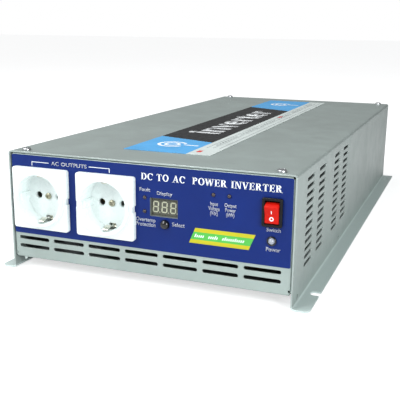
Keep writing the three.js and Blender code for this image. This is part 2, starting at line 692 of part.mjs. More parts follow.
// The earth stud has a head inside the rear panel and a collar outside it.
function groundStud() {
  const { stud, collar, pad, length } = GROUND;
  const head = CASE.depth - PANEL_BACK - GAP;
  const seat = REAR_FACE + GAP;
  return turned([
    [0, head - 4],
    [5.8, head - 4],
    [5.8, head],
    [stud, head],
    [stud, seat],
    [collar, seat],
    [collar, seat + pad],
    [stud, seat + pad],
    [stud, REAR_FACE + length - 1],
    [stud - 1, REAR_FACE + length],
    [0, REAR_FACE + length],
  ]);
}

function groundNut() {
  const seat = REAR_FACE + GAP + GROUND.pad + LUG_SEAT.room;
  return flangeNut(GROUND.stud + GAP, 5.6, 6.4, seat, 6.5);
}

// ---------- finishes ----------

function finish(color, roughness, metalness = 0) {
  return () => new THREE.MeshStandardMaterial({ color, roughness, metalness });
}

const housingPaint = finish(0xb4bab5, 0.42, 0.35);
const panelPaint = finish(0xa9aea8, 0.5, 0.3);
const labelBlue = finish(0x1b3070, 0.45);
const labelDark = finish(0x33363b, 0.4);
const stickerYellow = finish(0xcdc32a, 0.4);
const whitePlastic = finish(0xf2f3ee, 0.3);
const greyPlastic = finish(0x8d8f8c, 0.55);
const blackPlastic = finish(0x151517, 0.35);
const redPlastic = finish(0xdd2f1c, 0.3);
const darkLens = finish(0x2a1512, 0.15);
const clearLens = finish(0xd9dfe6, 0.1);
const displayFace = finish(0x46483c, 0.25);
const boardGreen = finish(0x1d5a35, 0.5);
const aluminium = finish(0xa8abad, 0.4, 0.9);
const copper = finish(0xb5693a, 0.35, 0.95);
const brass = finish(0xc2a254, 0.3, 0.95);
const zinc = finish(0xb9bbbd, 0.3, 0.95);
const ferrite = finish(0x2b2c2e, 0.7);
const canSleeve = finish(0x23262d, 0.4);

// ---------- assembly ----------

const inverter = new THREE.Group();
inverter.position.y = -(SOCKET.rimFront + BACK_REACH) / 2;

function add(name, body, material, at = [0, 0, 0], parent = inverter) {
  const mesh = new THREE.Mesh(geometryOf(body), material());
  mesh.name = name;
  mesh.position.set(...at);
  parent.add(mesh);
}

function addGroup(x, y, z) {
  const group = new THREE.Group();
  group.position.set(x, y, z);
  inverter.add(group);
  return group;
}

add("top_cover", topCover(), housingPaint);
add("chassis_base", chassisBase(), panelPaint);
add("front_panel", frontPanel(), panelPaint);
const rear = addGroup(0, CASE.depth, 0);
rear.rotation.z = Math.PI;
add("rear_panel", rearPanel(), panelPaint, [0, 0, 0], rear);
add("front_label", frontLabel(), labelBlue);
add("top_label", topLabel(), labelDark);
add("feature_sticker", featureSticker(), stickerYellow);
const COVER_SCREW_NAMES = ["front_left", "rear_left", "front_right", "rear_right"];
COVER_SCREW_PLACES.forEach(([x, y], i) => {
  add(`${COVER_SCREW_NAMES[i]}_cover_screw`, coverScrew(), zinc, [x, y, CASE.height + GAP / 2]);
});

["left", "right"].forEach((side, i) => {
  const outlet = addGroup(SOCKET.xs[i], 0, SOCKET.z);
  add(`${side}_socket_cover`, socketCover(), whitePlastic, [0, 0, 0], outlet);
  add(`${side}_socket_base`, socketBase(), greyPlastic, [0, 0, 0], outlet);
  add(`${side}_earth_strap`, earthStrap(), zinc, [0, 0, 0], outlet);
  add(`${side}_socket_screw`, socketScrew(), zinc, [0, 0, 0], outlet);
});

const rocker = addGroup(ROCKER.x, 0, ROCKER.z);
add("rocker_housing", rockerHousing(), blackPlastic, [0, 0, 0], rocker);
add("rocker_button", rockerButton(), redPlastic, [0, ROCKER.pivot, 0], rocker);

const powerLed = addGroup(POWER_LED.x, 0, POWER_LED.z);
add("power_led_ring", powerLedRing(), blackPlastic, [0, 0, 0], powerLed);
add("power_led_lens", powerLedLens(), clearLens, [0, 0, 0], powerLed);
["fault", "overheat", "input_level", "output_level"].forEach((meaning, i) => {
  const [x, z] = INDICATOR.places[i];
  add(`${meaning}_led`, indicatorLed(), darkLens, [x, 0, z]);
});
add("display_module", displayModule(), displayFace);
add("display_board", displayBoard(), boardGreen);
const select = addGroup(SELECT.x, 0, SELECT.z);
add("select_button", selectButton(), blackPlastic, [0, 0, 0], select);
add("select_switch", selectSwitch(), greyPlastic, [0, 0, 0], select);

add("main_board", mainBoard(), boardGreen);
add("control_board", controlBoard(), boardGreen);
add("output_choke", outputChoke(), copper, [CHOKE.x, CHOKE.y, BOARD_TOP + GAP + 8]);
["front", "rear"].forEach((end, i) => {
  const transformer = addGroup(0, TRANSFORMER.ys[i], BOARD_TOP + GAP);
  add(`${end}_transformer_core`, transformerCore(), ferrite, [0, 0, 0], transformer);
  add(`${end}_transformer_winding`, transformerWinding(), copper, [0, 0, 0], transformer);
});
["left", "right"].forEach((side, i) => {
  const sign = 2 * i - 1;
  add(`${side}_heatsink`, heatsink(sign), aluminium);
  add(`${side}_transistor_bank`, transistorBank(sign), blackPlastic);
  const foot = [CAPACITOR.xs[i], CAPACITOR.y, BOARD_TOP + GAP];
  add(`${side}_bus_capacitor`, busCapacitor(), canSleeve, foot);
});

["left", "right"].forEach((side, i) => {
  const fan = addGroup(FAN.xs[i], CASE.depth - PANEL_BACK - GAP, FAN.z);
  add(`${side}_fan_frame`, fanFrame(), blackPlastic, [0, 0, 0], fan);
  add(`${side}_fan_rotor`, fanRotor(), blackPlastic, [0, 0, 0], fan);
  add(`${side}_fan_guard`, fanGuard(), zinc, [0, PANEL_BACK - PANEL.recess + GAP, 0], fan);
});

["positive", "negative"].forEach((pole, i) => {
  const plastic = pole === "positive" ? redPlastic : blackPlastic;
  const terminal = addGroup(TERMINAL.xs[i], 0, TERMINAL.z);
  add(`${pole}_terminal_block`, terminalBlock(), plastic, [0, 0, 0], terminal);
  add(`${pole}_terminal_stud`, terminalStud(), brass, [0, 0, 0], terminal);
  add(`${pole}_terminal_nut`, terminalNut(), zinc, [0, 0, 0], terminal);
  add(`${pole}_busbar`, dcBusbar(), copper, [0, 0, -TERMINAL.z], terminal);
});
add("ground_stud", groundStud(), brass, [0, 0, GROUND.z]);
add("ground_nut", groundNut(), zinc, [0, 0, GROUND.z]);

export default inverter;
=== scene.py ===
# %% [markdown]
# # Dressing a power inverter
# The object is a mains inverter in a folded steel case, with two outlets at the front and two
# fans at the back. Its working shape is already packed: every sub-part is a node with a fixed
# place and a fixed size. This lesson gives it its looks. It could be done by painting the packed
# solids only, but their round parts have few sides, so each piece that the eye meets is made
# again at full quality in the place of its node, and the hidden electronics keep their solids.

# %% Load the frame
import math

import bmesh
import bpy
from mathutils import Matrix, Vector


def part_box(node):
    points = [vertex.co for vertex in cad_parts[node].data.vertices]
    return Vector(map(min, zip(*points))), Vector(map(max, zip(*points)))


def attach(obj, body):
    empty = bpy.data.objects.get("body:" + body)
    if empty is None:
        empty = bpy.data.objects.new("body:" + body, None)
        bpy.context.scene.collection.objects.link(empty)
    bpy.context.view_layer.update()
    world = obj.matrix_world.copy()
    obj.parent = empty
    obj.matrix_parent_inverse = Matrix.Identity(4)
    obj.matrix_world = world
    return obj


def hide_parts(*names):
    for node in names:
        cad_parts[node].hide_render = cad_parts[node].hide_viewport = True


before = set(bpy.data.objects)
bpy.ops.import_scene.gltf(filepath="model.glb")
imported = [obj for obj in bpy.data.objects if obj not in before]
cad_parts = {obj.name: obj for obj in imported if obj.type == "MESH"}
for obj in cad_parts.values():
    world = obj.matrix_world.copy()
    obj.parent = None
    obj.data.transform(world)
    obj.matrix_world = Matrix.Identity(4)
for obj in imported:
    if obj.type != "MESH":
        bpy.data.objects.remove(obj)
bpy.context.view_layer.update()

# %% [markdown]
# ## Where things are
# Every place comes from the frame. Drawings of sheet metal are in millimetres, so a piece is
# drawn in millimetres about a point of its own: x and z from the middle of its node's box and y
# from the front edge of the cover. One function turns that drawing into metres at that point.

# %% Places and units
MM = 0.001
COVER_LOW, COVER_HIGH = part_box("top_cover")
FRONT = COVER_LOW.y
DEPTH = (COVER_HIGH.y - FRONT) / MM
HEIGHT = COVER_HIGH.z / MM


def middle(node):
    """The middle of a node in x and z, at the front edge of the cover."""
    low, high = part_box(node)
    return Vector(((low.x + high.x) / 2, FRONT, (low.z + high.z) / 2))


def reach(node):
    """How far a node reaches in y, as two distances in mm behind the cover's front edge."""
    low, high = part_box(node)
    return (low.y - FRONT) / MM, (high.y - FRONT) / MM


CASE_ORIGIN = Vector((0, FRONT, 0))
print("cover:", round(DEPTH, 1), "mm deep and", round(HEIGHT, 1), "mm high")

# %% [markdown]
# ## The camera
# The case is seen from its right front corner, a little above its roof, with a mild wide angle
# that makes the long roof run together. The camera could be aimed with a constraint, but an
# export bakes those badly, so its three axes are worked out from its two angles and its roll.

# %% Make the camera
CAMERA = {"place": (0.2244, -0.7195, 0.1955), "around": 21.33, "above": 13.91, "roll": 0.656}


def camera_matrix(place, around, above, roll):
    around, above, roll = (math.radians(angle) for angle in (around, above, roll))
    level = math.cos(above)
    back = Vector((math.sin(around) * level, -math.cos(around) * level, math.sin(above)))
    right = Vector((math.cos(around), math.sin(around), 0))
    up = back.cross(right)
    tilted_right = right * math.cos(roll) + up * math.sin(roll)
    tilted_up = up * math.cos(roll) - right * math.sin(roll)
    turn = Matrix((tilted_right, tilted_up, back)).transposed()
    return Matrix.Translation(place) @ turn.to_4x4()


camera_data = bpy.data.cameras.new("camera")
camera_data.lens = 62.28
camera_data.sensor_width = 36
camera = bpy.data.objects.new("camera", camera_data)
bpy.context.scene.collection.objects.link(camera)
camera.matrix_world = camera_matrix(**CAMERA)
bpy.context.scene.camera = camera
print("camera:", camera_data.lens, "mm lens")

# %% [markdown]
# ## Node helpers
# Materials and Geometry Nodes are both trees of nodes. Each node could be made and wired by
# hand, at three lines a node. A helper that makes a node, sets it and wires its inputs in one
# call keeps every tree as short as its idea.

# %% Nodes in one line each
def add(tree, kind, inputs=None, **settings):
    """A new node. Each input is given a plain value or another node's output."""
    node = tree.nodes.new(kind)
    for key, value in settings.items():
        setattr(node, key, value)
    for key, value in (inputs or {}).items():
        if isinstance(value, bpy.types.NodeSocket):
            tree.links.new(value, node.inputs[key])
        else:
            node.inputs[key].default_value = value
    return node


def group_tree(name, kind, inputs, outputs):
    """A node group with named sockets. Inputs are (name, type, default)."""
    tree = bpy.data.node_groups.new(name, kind)
    for label, socket_type, default in inputs:
        socket = tree.interface.new_socket(label, in_out="INPUT", socket_type=socket_type)
        if default is not None:
            socket.default_value = default
    for label, socket_type in outputs:
        tree.interface.new_socket(label, in_out="OUTPUT", socket_type=socket_type)
    source = tree.nodes.new("NodeGroupInput")
    sink = tree.nodes.new("NodeGroupOutput")
    return tree, source.outputs, sink.inputs


def end_in_finish(tree, geometry, source, sink):
    """Ends a geometry tree: its copies become plain mesh in the Finish it is given."""
    real = add(tree, "GeometryNodeRealizeInstances", {"Geometry": geometry})
    painted = add(tree, "GeometryNodeSetMaterial",
                  {"Geometry": real.outputs[0], "Material": source["Finish"]})
    tree.links.new(painted.outputs[0], sink[0])
    return tree


FLOAT = "NodeSocketFloat"
VECTOR = "NodeSocketVector"
print("node helpers ready")

# %% [markdown]
# ## Shared surface effects
# Paint, moulded plastic and plated steel differ in colour and gloss, but they share three
# things: a fine grain that breaks up reflections, slow clouds of tone left by spraying and
# handling, and edges that are a little lighter, partly where they have been rubbed and partly as a
# painted highlight where a rounded edge would catch the light. Each could be built anew in every
# material. As groups with named sockets they are built once and tuned per finish.

# %% Grain: a fine bump
def make_grain_group():
    tree, source, sink = group_tree(
        "grain", "ShaderNodeTree",
        [("Size", FLOAT, 0.0008), ("Roundness", FLOAT, 0.5)], [("Height", FLOAT)])
    place = add(tree, "ShaderNodeTexCoord").outputs["Object"]
    scale = add(tree, "ShaderNodeMath", {0: 1.0, 1: source["Size"]}, operation="DIVIDE").outputs[0]
    peel = add(tree, "ShaderNodeTexNoise",
               {"Vector": place, "Scale": scale, "Detail": 3.0, "Roughness": source["Roundness"]})
    cells = add(tree, "ShaderNodeTexVoronoi", {"Vector": place, "Scale": scale})
    both = add(tree, "ShaderNodeMath", {0: peel.outputs["Fac"], 1: cells.outputs["Distance"]},
               operation="MULTIPLY")
    tree.links.new(both.outputs[0], sink["Height"])
    return tree


GRAIN = make_grain_group()
print("group:", GRAIN.name)

# %% Clouds: slow changes of tone and gloss
def make_cloud_group():
    tree, source, sink = group_tree(
        "clouds", "ShaderNodeTree",
        [("Size", FLOAT, 0.05), ("Contrast", FLOAT, 1.0)], [("Mask", FLOAT), ("Smudge", FLOAT)])
    place = add(tree, "ShaderNodeTexCoord").outputs["Object"]
    scale = add(tree, "ShaderNodeMath", {0: 1.0, 1: source["Size"]}, operation="DIVIDE").outputs[0]
    broad = add(tree, "ShaderNodeTexNoise",
                {"Vector": place, "Scale": scale, "Detail": 2.0, "Distortion": 0.6})
    mask = add(tree, "ShaderNodeMapRange",
               {"Value": broad.outputs["Fac"], "From Min": 0.3, "From Max": 0.7})
    pulled = add(tree, "ShaderNodeMath", {0: mask.outputs[0], 1: source["Contrast"]},
                 operation="MULTIPLY")
    finer = add(tree, "ShaderNodeMath", {0: scale, 1: 7.0}, operation="MULTIPLY").outputs[0]
    wipe = add(tree, "ShaderNodeTexNoise",
               {"Vector": place, "Scale": finer, "Detail": 5.0, "Roughness": 0.65})
    smudge = add(tree, "ShaderNodeMapRange",
                 {"Value": wipe.outputs["Fac"], "From Min": 0.42, "From Max": 0.68})
    tree.links.new(pulled.outputs[0], sink["Mask"])
    tree.links.new(smudge.outputs[0], sink["Smudge"])
    return tree


CLOUDS = make_cloud_group()
print("group:", CLOUDS.name)

# %% Edges: where a corner is worn, with a painted highlight
def make_edge_group():
    tree, source, sink = group_tree(
        "edges with wear and highlight", "ShaderNodeTree",
        [("Radius", FLOAT, 0.0004), ("Breakup", FLOAT, 260.0)], [("Mask", FLOAT), ("Normal", VECTOR)])
    place = add(tree, "ShaderNodeTexCoord").outputs["Object"]
    rounded = add(tree, "ShaderNodeBevel", {"Radius": source["Radius"]}, samples=4).outputs["Normal"]
    facing = add(tree, "ShaderNodeNewGeometry").outputs["Normal"]
    same = add(tree, "ShaderNodeVectorMath", {0: rounded, 1: facing}, operation="DOT_PRODUCT")
    turned_away = add(tree, "ShaderNodeMapRange",
                      {"Value": same.outputs["Value"], "From Min": 0.985, "From Max": 0.8})
    patches = add(tree, "ShaderNodeTexNoise",
                  {"Vector": place, "Scale": source["Breakup"], "Detail": 4.0})
    broken = add(tree, "ShaderNodeMapRange",
                 {"Value": patches.outputs["Fac"], "From Min": 0.35, "From Max": 0.65})
    mask = add(tree, "ShaderNodeMath", {0: turned_away.outputs[0], 1: broken.outputs[0]},
               operation="MULTIPLY")
    tree.links.new(mask.outputs[0], sink["Mask"])
    tree.links.new(rounded, sink["Normal"])
    return tree


EDGES = make_edge_group()
print("group:", EDGES.name)

# %% [markdown]
# ## Finishes
# Most finishes here are one recipe with other numbers: a base colour that drifts between two
# tones, a lighter edge colour for wear and a painted highlight, a gloss that the smudges break
# up, and a grain in the bump. The recipe is a function, and what makes a finish is its row of
# numbers.

# %% The recipe for a finish
def linear(red, green, blue):
    """A colour of 0 to 255 steps as the linear light that a shader wants."""
    def one(step):
        share = step / 255
        return share / 12.92 if share <= 0.04045 else ((share + 0.055) / 1.055) ** 2.4
    return one(red), one(green), one(blue), 1.0


def blank_material(name):
    material = bpy.data.materials.new(name)
    material.use_nodes = True
    tree = material.node_tree
    return material, tree, tree.nodes["Principled BSDF"]


def mix(tree, factor, low, high):
    node = add(tree, "ShaderNodeMix", data_type="RGBA")
    for socket, value in ((node.inputs[0], factor), (node.inputs[6], low), (node.inputs[7], high)):
        if isinstance(value, bpy.types.NodeSocket):
            tree.links.new(value, socket)
        else:
            socket.default_value = value
    return node.outputs[2]


def finish_of(name, colour, gloss, metal=0.0, drift=0.07, cloud=0.08, grain=0.0008, bump=0.12,
              edge=None, edge_radius=0.0004, edge_share=0.7, clear=0.0, shine=0.5, foot=None):
    """A procedural finish. Gloss is its roughness, drift how far its tone wanders. A foot
    colour replaces the tone within 3 mm of the floor, as a painted highlight on the flanges."""
    material, tree, shader = blank_material(name)
    tone = linear(*colour)
    darker = tuple(value * (1 - drift) for value in tone[:3]) + (1.0,)
    lighter = tuple(min(1.0, value * (1 + drift)) for value in tone[:3]) + (1.0,)
    clouds = add(tree, "ShaderNodeGroup", node_tree=CLOUDS)
    clouds.inputs["Size"].default_value = cloud
    edges = add(tree, "ShaderNodeGroup", node_tree=EDGES)
    edges.inputs["Radius"].default_value = edge_radius
    base = mix(tree, clouds.outputs["Mask"], darker, lighter)
    # Painted highlight: within 3 mm of the floor the tone turns to the lighter foot colour.
    if foot:
        place = add(tree, "ShaderNodeTexCoord").outputs["Object"]
        height = add(tree, "ShaderNodeSeparateXYZ", {"Vector": place}).outputs["Z"]
        foot_highlight = add(tree, "ShaderNodeMapRange", {"Value": height, "From Min": 0.003,
                                                "From Max": 0.0018}).outputs[0]
        base = mix(tree, foot_highlight, base, linear(*foot))
    # Edges take a lighter colour: partly wear, partly a painted highlight where a rounded edge would
    # catch the light.
    share = add(tree, "ShaderNodeMath", {0: edges.outputs["Mask"], 1: edge_share},
                operation="MULTIPLY").outputs[0]
    edge_wear_and_highlight = linear(*(edge or [min(255, step * 1.25 + 12) for step in colour]))
    tree.links.new(mix(tree, share, base, edge_wear_and_highlight), shader.inputs["Base Color"])
    rough = add(tree, "ShaderNodeMapRange",
                {"Value": clouds.outputs["Smudge"], "To Min": gloss * 0.86, "To Max": gloss * 1.22})
    tree.links.new(rough.outputs[0], shader.inputs["Roughness"])
    fine = add(tree, "ShaderNodeGroup", node_tree=GRAIN)
    fine.inputs["Size"].default_value = grain
    relief = add(tree, "ShaderNodeBump", {
        "Strength": bump, "Distance": 0.0002, "Height": fine.outputs["Height"],
        "Normal": edges.outputs["Normal"]})
    tree.links.new(relief.outputs["Normal"], shader.inputs["Normal"])
    shader.inputs["Metallic"].default_value = metal
    shader.inputs["Coat Weight"].default_value = clear
    shader.inputs["Specular IOR Level"].default_value = shine
    return material


print("finish recipe ready")

# %% [markdown]
# Brushed or plated metal needs one thing more: scratches drawn out along one direction. A
# photograph of brushing would repeat, so a noise is stretched along an axis of the object.

# %% Plated and brushed metal
def brushed(name, colour, gloss, along=(1.0, 60.0, 60.0), strength=0.15, edge_radius=0.0003):
    material, tree, shader = blank_material(name)
    place = add(tree, "ShaderNodeTexCoord").outputs["Object"]
    stretch = add(tree, "ShaderNodeMapping", {"Vector": place, "Scale": along}).outputs[0]
    lines = add(tree, "ShaderNodeTexNoise",
                {"Vector": stretch, "Scale": 60.0, "Detail": 6.0, "Roughness": 0.7}).outputs["Fac"]
    clouds = add(tree, "ShaderNodeGroup", node_tree=CLOUDS)
    edges = add(tree, "ShaderNodeGroup", node_tree=EDGES)
    edges.inputs["Radius"].default_value = edge_radius
    tone = linear(*colour)
    dull = tuple(value * 0.8 for value in tone[:3]) + (1.0,)
    base = mix(tree, lines, dull, tone)
    # Edges take a lighter colour: partly wear, partly a painted highlight.
    metal_wear_and_glint = mix(tree, edges.outputs["Mask"], base, linear(*[min(255, step + 28) for step in colour]))
    tree.links.new(metal_wear_and_glint, shader.inputs["Base Color"])
    rough = add(tree, "ShaderNodeMapRange",
                {"Value": clouds.outputs["Smudge"], "To Min": gloss * 0.8, "To Max": gloss * 1.4})
    tree.links.new(rough.outputs[0], shader.inputs["Roughness"])
    relief = add(tree, "ShaderNodeBump", {
        "Strength": strength, "Distance": 0.0001, "Height": lines, "Normal": edges.outputs["Normal"]})
    tree.links.new(relief.outputs["Normal"], shader.inputs["Normal"])
    shader.inputs["Metallic"].default_value = 0.95
    return material


print("metal recipe ready")

# %% [markdown]
# The case is sprayed a silvery grey over steel, and the tray inside is bare zinc-plated sheet.
# The mouldings are white, grey, red and black plastics, each with its own gloss.

# %% The finishes of this object
FINISH = {
    # The foot colour of the silver paint is a painted highlight along the flanges.
    "paint": finish_of("silver paint", (160, 173, 170), 0.38, metal=0.35, drift=0.04, cloud=0.16,
                       grain=0.0007, bump=0.10, edge=(222, 230, 228), edge_radius=0.0005, clear=0.1,
                       foot=(206, 222, 220)),
    "panel": finish_of("panel paint", (156, 170, 166), 0.40, metal=0.35, drift=0.05, cloud=0.05,
                       grain=0.0006, bump=0.12, edge=(228, 232, 226), edge_radius=0.0004),
    "white": finish_of("white moulding", (227, 237, 236), 0.3, drift=0.015, cloud=0.03,
                       grain=0.0005, bump=0.04, edge=(250, 252, 250), edge_radius=0.0005, clear=0.1),
    "grey": finish_of("grey moulding", (122, 124, 120), 0.5, grain=0.0006, bump=0.15),
    "black": finish_of("black moulding", (14, 14, 17), 0.36, grain=0.0005, bump=0.12,
                       edge=(52, 54, 60), edge_share=0.5, shine=0.25),
    "gloss_black": finish_of("glossy black cap", (10, 10, 12), 0.12, grain=0.0006, bump=0.03,
                             edge=(60, 60, 66), edge_share=0.3, clear=0.5),
    "rotor": finish_of("rotor moulding", (30, 31, 33), 0.42, grain=0.0006, bump=0.1),
    "red": finish_of("red rocker", (188, 22, 10), 0.42, drift=0.05, cloud=0.01, grain=0.0006,
                     bump=0.04, edge=(244, 92, 56), edge_share=0.8, shine=0.15),
    "red_cap": finish_of("red terminal", (176, 28, 22), 0.4, grain=0.0006, bump=0.12),
    "board": finish_of("board lacquer", (22, 84, 46), 0.32, drift=0.14, cloud=0.012, grain=0.0012,
                       bump=0.3, edge=(168, 160, 110), clear=0.4),
    "chip": finish_of("moulded semiconductor", (34, 34, 36), 0.55, grain=0.0004, bump=0.2),
    "sleeve": finish_of("capacitor sleeve", (30, 38, 58), 0.3, cloud=0.02, grain=0.001, bump=0.05),
    "ferrite": finish_of("laminated core", (66, 64, 62), 0.6, grain=0.0005, bump=0.4),
    "switch": finish_of("key switch body", (70, 72, 74), 0.45, grain=0.0005, bump=0.1),
    "zinc": brushed("zinc plate", (196, 199, 202), 0.28),
    "tray": brushed("plated tray", (150, 154, 158), 0.42, along=(60.0, 1.0, 60.0)),
    "nickel": brushed("nickel strip", (222, 220, 208), 0.2, along=(60.0, 1.0, 60.0)),
    "brass": brushed("brass", (196, 160, 84), 0.24, along=(60.0, 1.0, 60.0)),
    "screw": brushed("dull brass screw", (176, 174, 152), 0.36, along=(30.0, 30.0, 30.0)),
    "copper": brushed("enamelled copper", (176, 92, 46), 0.3, along=(60.0, 60.0, 1.0), strength=0.5),
    "aluminium": brushed("extruded aluminium", (184, 187, 190), 0.34, along=(60.0, 1.0, 60.0)),
}
print("finishes:", len(FINISH))

# %% [markdown]
# ## Floor and light
# The case stands on a plain white floor in a soft studio. The world is a white dome that is
# brighter on the left and in front than on the right and behind, so that the roof, the front
# and the long side each get their own tone. It could be an even dome with stronger lamps, but
# flat faces then all come out alike. The floor glows a little for the camera only, which keeps
# it white to the horizon without lighting the case from below.

# %% Floor
def make_floor():
    half = 14.0
    corners = [(-half, -half, 0), (half, -half, 0), (half, half, 0), (-half, half, 0)]
    mesh = bpy.data.meshes.new("floor")
    mesh.from_pydata(corners, [], [(0, 1, 2, 3)])
    floor = bpy.data.objects.new("floor", mesh)
    bpy.context.scene.collection.objects.link(floor)
    floor.location.z = -0.0004
    material = finish_of("studio floor", (222, 223, 224), 0.8, drift=0.01, cloud=0.8, grain=0.004,
                         bump=0.02)
    tree = material.node_tree
    shader = tree.nodes["Principled BSDF"]
    seen = add(tree, "ShaderNodeLightPath").outputs["Is Camera Ray"]
    glow = add(tree, "ShaderNodeMath", {0: seen, 1: FLOOR_GLOW}, operation="MULTIPLY")
    tree.links.new(glow.outputs[0], shader.inputs["Emission Strength"])
    shader.inputs["Emission Color"].default_value = (1.0, 1.0, 1.0, 1.0)
    mesh.materials.append(material)


FLOOR_GLOW = 0.62
make_floor()

# %% Dome and soft boxes
DOME = {"dim": 0.14, "bright": 0.58, "towards": (-0.5, -0.7, 0.5)}


def make_world():
    world = bpy.data.worlds.new("studio")
    world.use_nodes = True
    tree = world.node_tree
    background = tree.nodes["Background"]
    background.inputs["Color"].default_value = (1.0, 1.0, 1.0, 1.0)
    direction = add(tree, "ShaderNodeTexCoord").outputs["Generated"]
    along = add(tree, "ShaderNodeVectorMath", {0: direction, 1: DOME["towards"]},
                operation="DOT_PRODUCT")
    level = add(tree, "ShaderNodeMapRange", {"Value": along.outputs["Value"], "From Min": -0.8,
                                             "From Max": 0.8, "To Min": DOME["dim"],
                                             "To Max": DOME["bright"]})
    seen = add(tree, "ShaderNodeLightPath").outputs["Is Camera Ray"]
    white = add(tree, "ShaderNodeMath", {0: seen, 1: level.outputs[0]}, operation="MAXIMUM")
    tree.links.new(white.outputs[0], background.inputs["Strength"])
    bpy.context.scene.world = world


def soft_box(name, place, aim, width, height, power):
    light = bpy.data.lights.new(name, "AREA")
    light.shape = "RECTANGLE"
    light.size = width
    light.size_y = height
    light.energy = power
    lamp = bpy.data.objects.new(name, light)
    bpy.context.scene.collection.objects.link(lamp)
    lamp.location = place
    lamp.rotation_euler = (Vector(aim) - Vector(place)).to_track_quat("-Z", "Y").to_euler()


make_world()
soft_box("roof box", (-0.75, -0.5, 1.5), (0, -0.1, 0), 0.9, 0.9, 17)
soft_box("front box", (-0.7, -1.4, 0.95), (0, -0.2, 0.05), 0.6, 0.6, 12)
soft_box("side box", (0.85, -0.8, 0.4), (0.13, -0.25, 0.0), 0.5, 0.4, 8)
bpy.context.scene.view_settings.view_transform = "Standard"

# %% [markdown]
# ## Making a piece
# A piece is a mesh whose points are already in their final place, on an object that stays at
# the origin. Modifiers could be left live, but a settled mesh is what the eye and the export
# both get, so each modifier is turned into plain mesh as soon as it has done its work.

# %% Make, settle and show a piece
def mesh_object(name, points, edges, faces):
    """A new object in the scene, from points in metres."""
    mesh = bpy.data.meshes.new(name)
    mesh.from_pydata(points, edges, faces)
    obj = bpy.data.objects.new(name, mesh)
    bpy.context.scene.collection.objects.link(obj)
    return obj


def piece(name, points, faces, origin=CASE_ORIGIN, material=None):
    places = [Vector(origin) + Vector(point) * MM for point in points]
    obj = mesh_object(name, places, [], faces)
    if material:
        obj.data.materials.append(material)
    return obj


def settle(obj):
    """Turns the modifiers of a piece into plain mesh and removes them."""
    seen = obj.evaluated_get(bpy.context.evaluated_depsgraph_get())
    mesh = bpy.data.meshes.new_from_object(seen)
    obj.modifiers.clear()
    obj.data = mesh
    return obj


def thicken(obj, gauge, even=False):
    """Gives a skin its gauge in mm, half of it to each side."""
    thick = obj.modifiers.new("gauge", "SOLIDIFY")
    thick.thickness = gauge * MM
    thick.offset = 0
    thick.use_even_offset = even
    return settle(obj)


def one_finish(obj, material):
    """Drops the finishes that came in with the cutting tools."""
    obj.data.materials.clear()
    obj.data.materials.append(material)
    return obj


def clean(obj, gap=0.002):
    """Merges points that lie within gap mm and turns every face outwards."""
    work = bmesh.new()
    work.from_mesh(obj.data)
    bmesh.ops.remove_doubles(work, verts=work.verts, dist=gap * MM)
    bmesh.ops.recalc_face_normals(work, faces=work.faces)
    work.to_mesh(obj.data)
    work.free()
    return obj


def smooth(obj, angle=32):
    obj.data.shade_smooth()
    obj.data.set_sharp_from_angle(angle=math.radians(angle))
    return obj


def round_edges(obj, width, segments=3, angle=40):
    bevel = obj.modifiers.new("rounded", "BEVEL")
    bevel.width = width * MM
    bevel.segments = segments
    bevel.limit_method = "ANGLE"
    bevel.angle_limit = math.radians(angle)
    return smooth(settle(obj))


def drop(*objects):
    for obj in objects:
        bpy.data.objects.remove(obj)


def show(obj, slot, *nodes, body="housing"):
    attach(obj, body)
    if nodes:
        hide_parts(*nodes)
    print(obj.name, "-", len(obj.data.polygons), "faces")


def dress(material, *nodes):
    """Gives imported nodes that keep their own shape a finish."""
    for node in nodes:
        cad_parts[node].material_slots[0].material = material


print("piece helpers ready")

# %% [markdown]
# Turned pieces are drawn as half a section. The helper spins [radius, y] points about an axis
# that runs back through an origin. A point on the axis is one point and not a ring, so the
# poles are closed. Prisms are outlines in x and z that run from one y to another.

# %% Turned pieces, prisms and outlines
def turned(name, profile, origin, material, sides=64, ring=False):
    points, rows = [], []
    for radius, y in profile:
        count = 1 if radius == 0 else sides
        rows.append(range(len(points), len(points) + count))
        for step in range(count):
            angle = 2 * math.pi * step / sides
            points.append((radius * math.cos(angle), y, radius * math.sin(angle)))
    pairs = list(zip(rows, rows[1:]))
    if ring:
        pairs.append((rows[-1], rows[0]))
    faces = []
    for low, high in pairs:
        for step in range(sides):
            after = (step + 1) % sides
            corners = [low[step % len(low)], low[after % len(low)],
                       high[after % len(high)], high[step % len(high)]]
            face = list(dict.fromkeys(corners))
            if len(face) > 2:
                faces.append(face)
    return smooth(clean(piece(name, points, faces, origin, material)), 40)


def prism(name, outline, y0, y1, origin, material):
    count = len(outline)
    points = [(x, y, z) for y in (y0, y1) for x, z in outline]
    sides = [(i, (i + 1) % count, count + (i + 1) % count, count + i) for i in range(count)]
    ends = [tuple(range(count)), tuple(range(count, 2 * count))]
    return clean(piece(name, points, sides + ends, origin, material))


def circle(x, z, radius, sides=40):
    turn = 2 * math.pi / sides
    return [(x + radius * math.cos(turn * i), z + radius * math.sin(turn * i)) for i in range(sides)]


def rounded_box(x, z, width, height, radius, steps=5):
    outline = []
    for corner, (a, b) in enumerate([(1, 1), (-1, 1), (-1, -1), (1, -1)]):
        for step in range(steps + 1):
            angle = math.pi / 2 * (corner + step / steps)
            outline.append((x + a * (width / 2 - radius) + radius * math.cos(angle),
                            z + b * (height / 2 - radius) + radius * math.sin(angle)))
    return outline


def carve(obj, *tools, operation="DIFFERENCE"):
    for tool in tools:
        modifier = obj.modifiers.new("carve", "BOOLEAN")
        modifier.operation = operation
        modifier.solver = "EXACT"
        modifier.object = tool
        settle(obj)
        drop(tool)
    return obj


print("outline helpers ready")

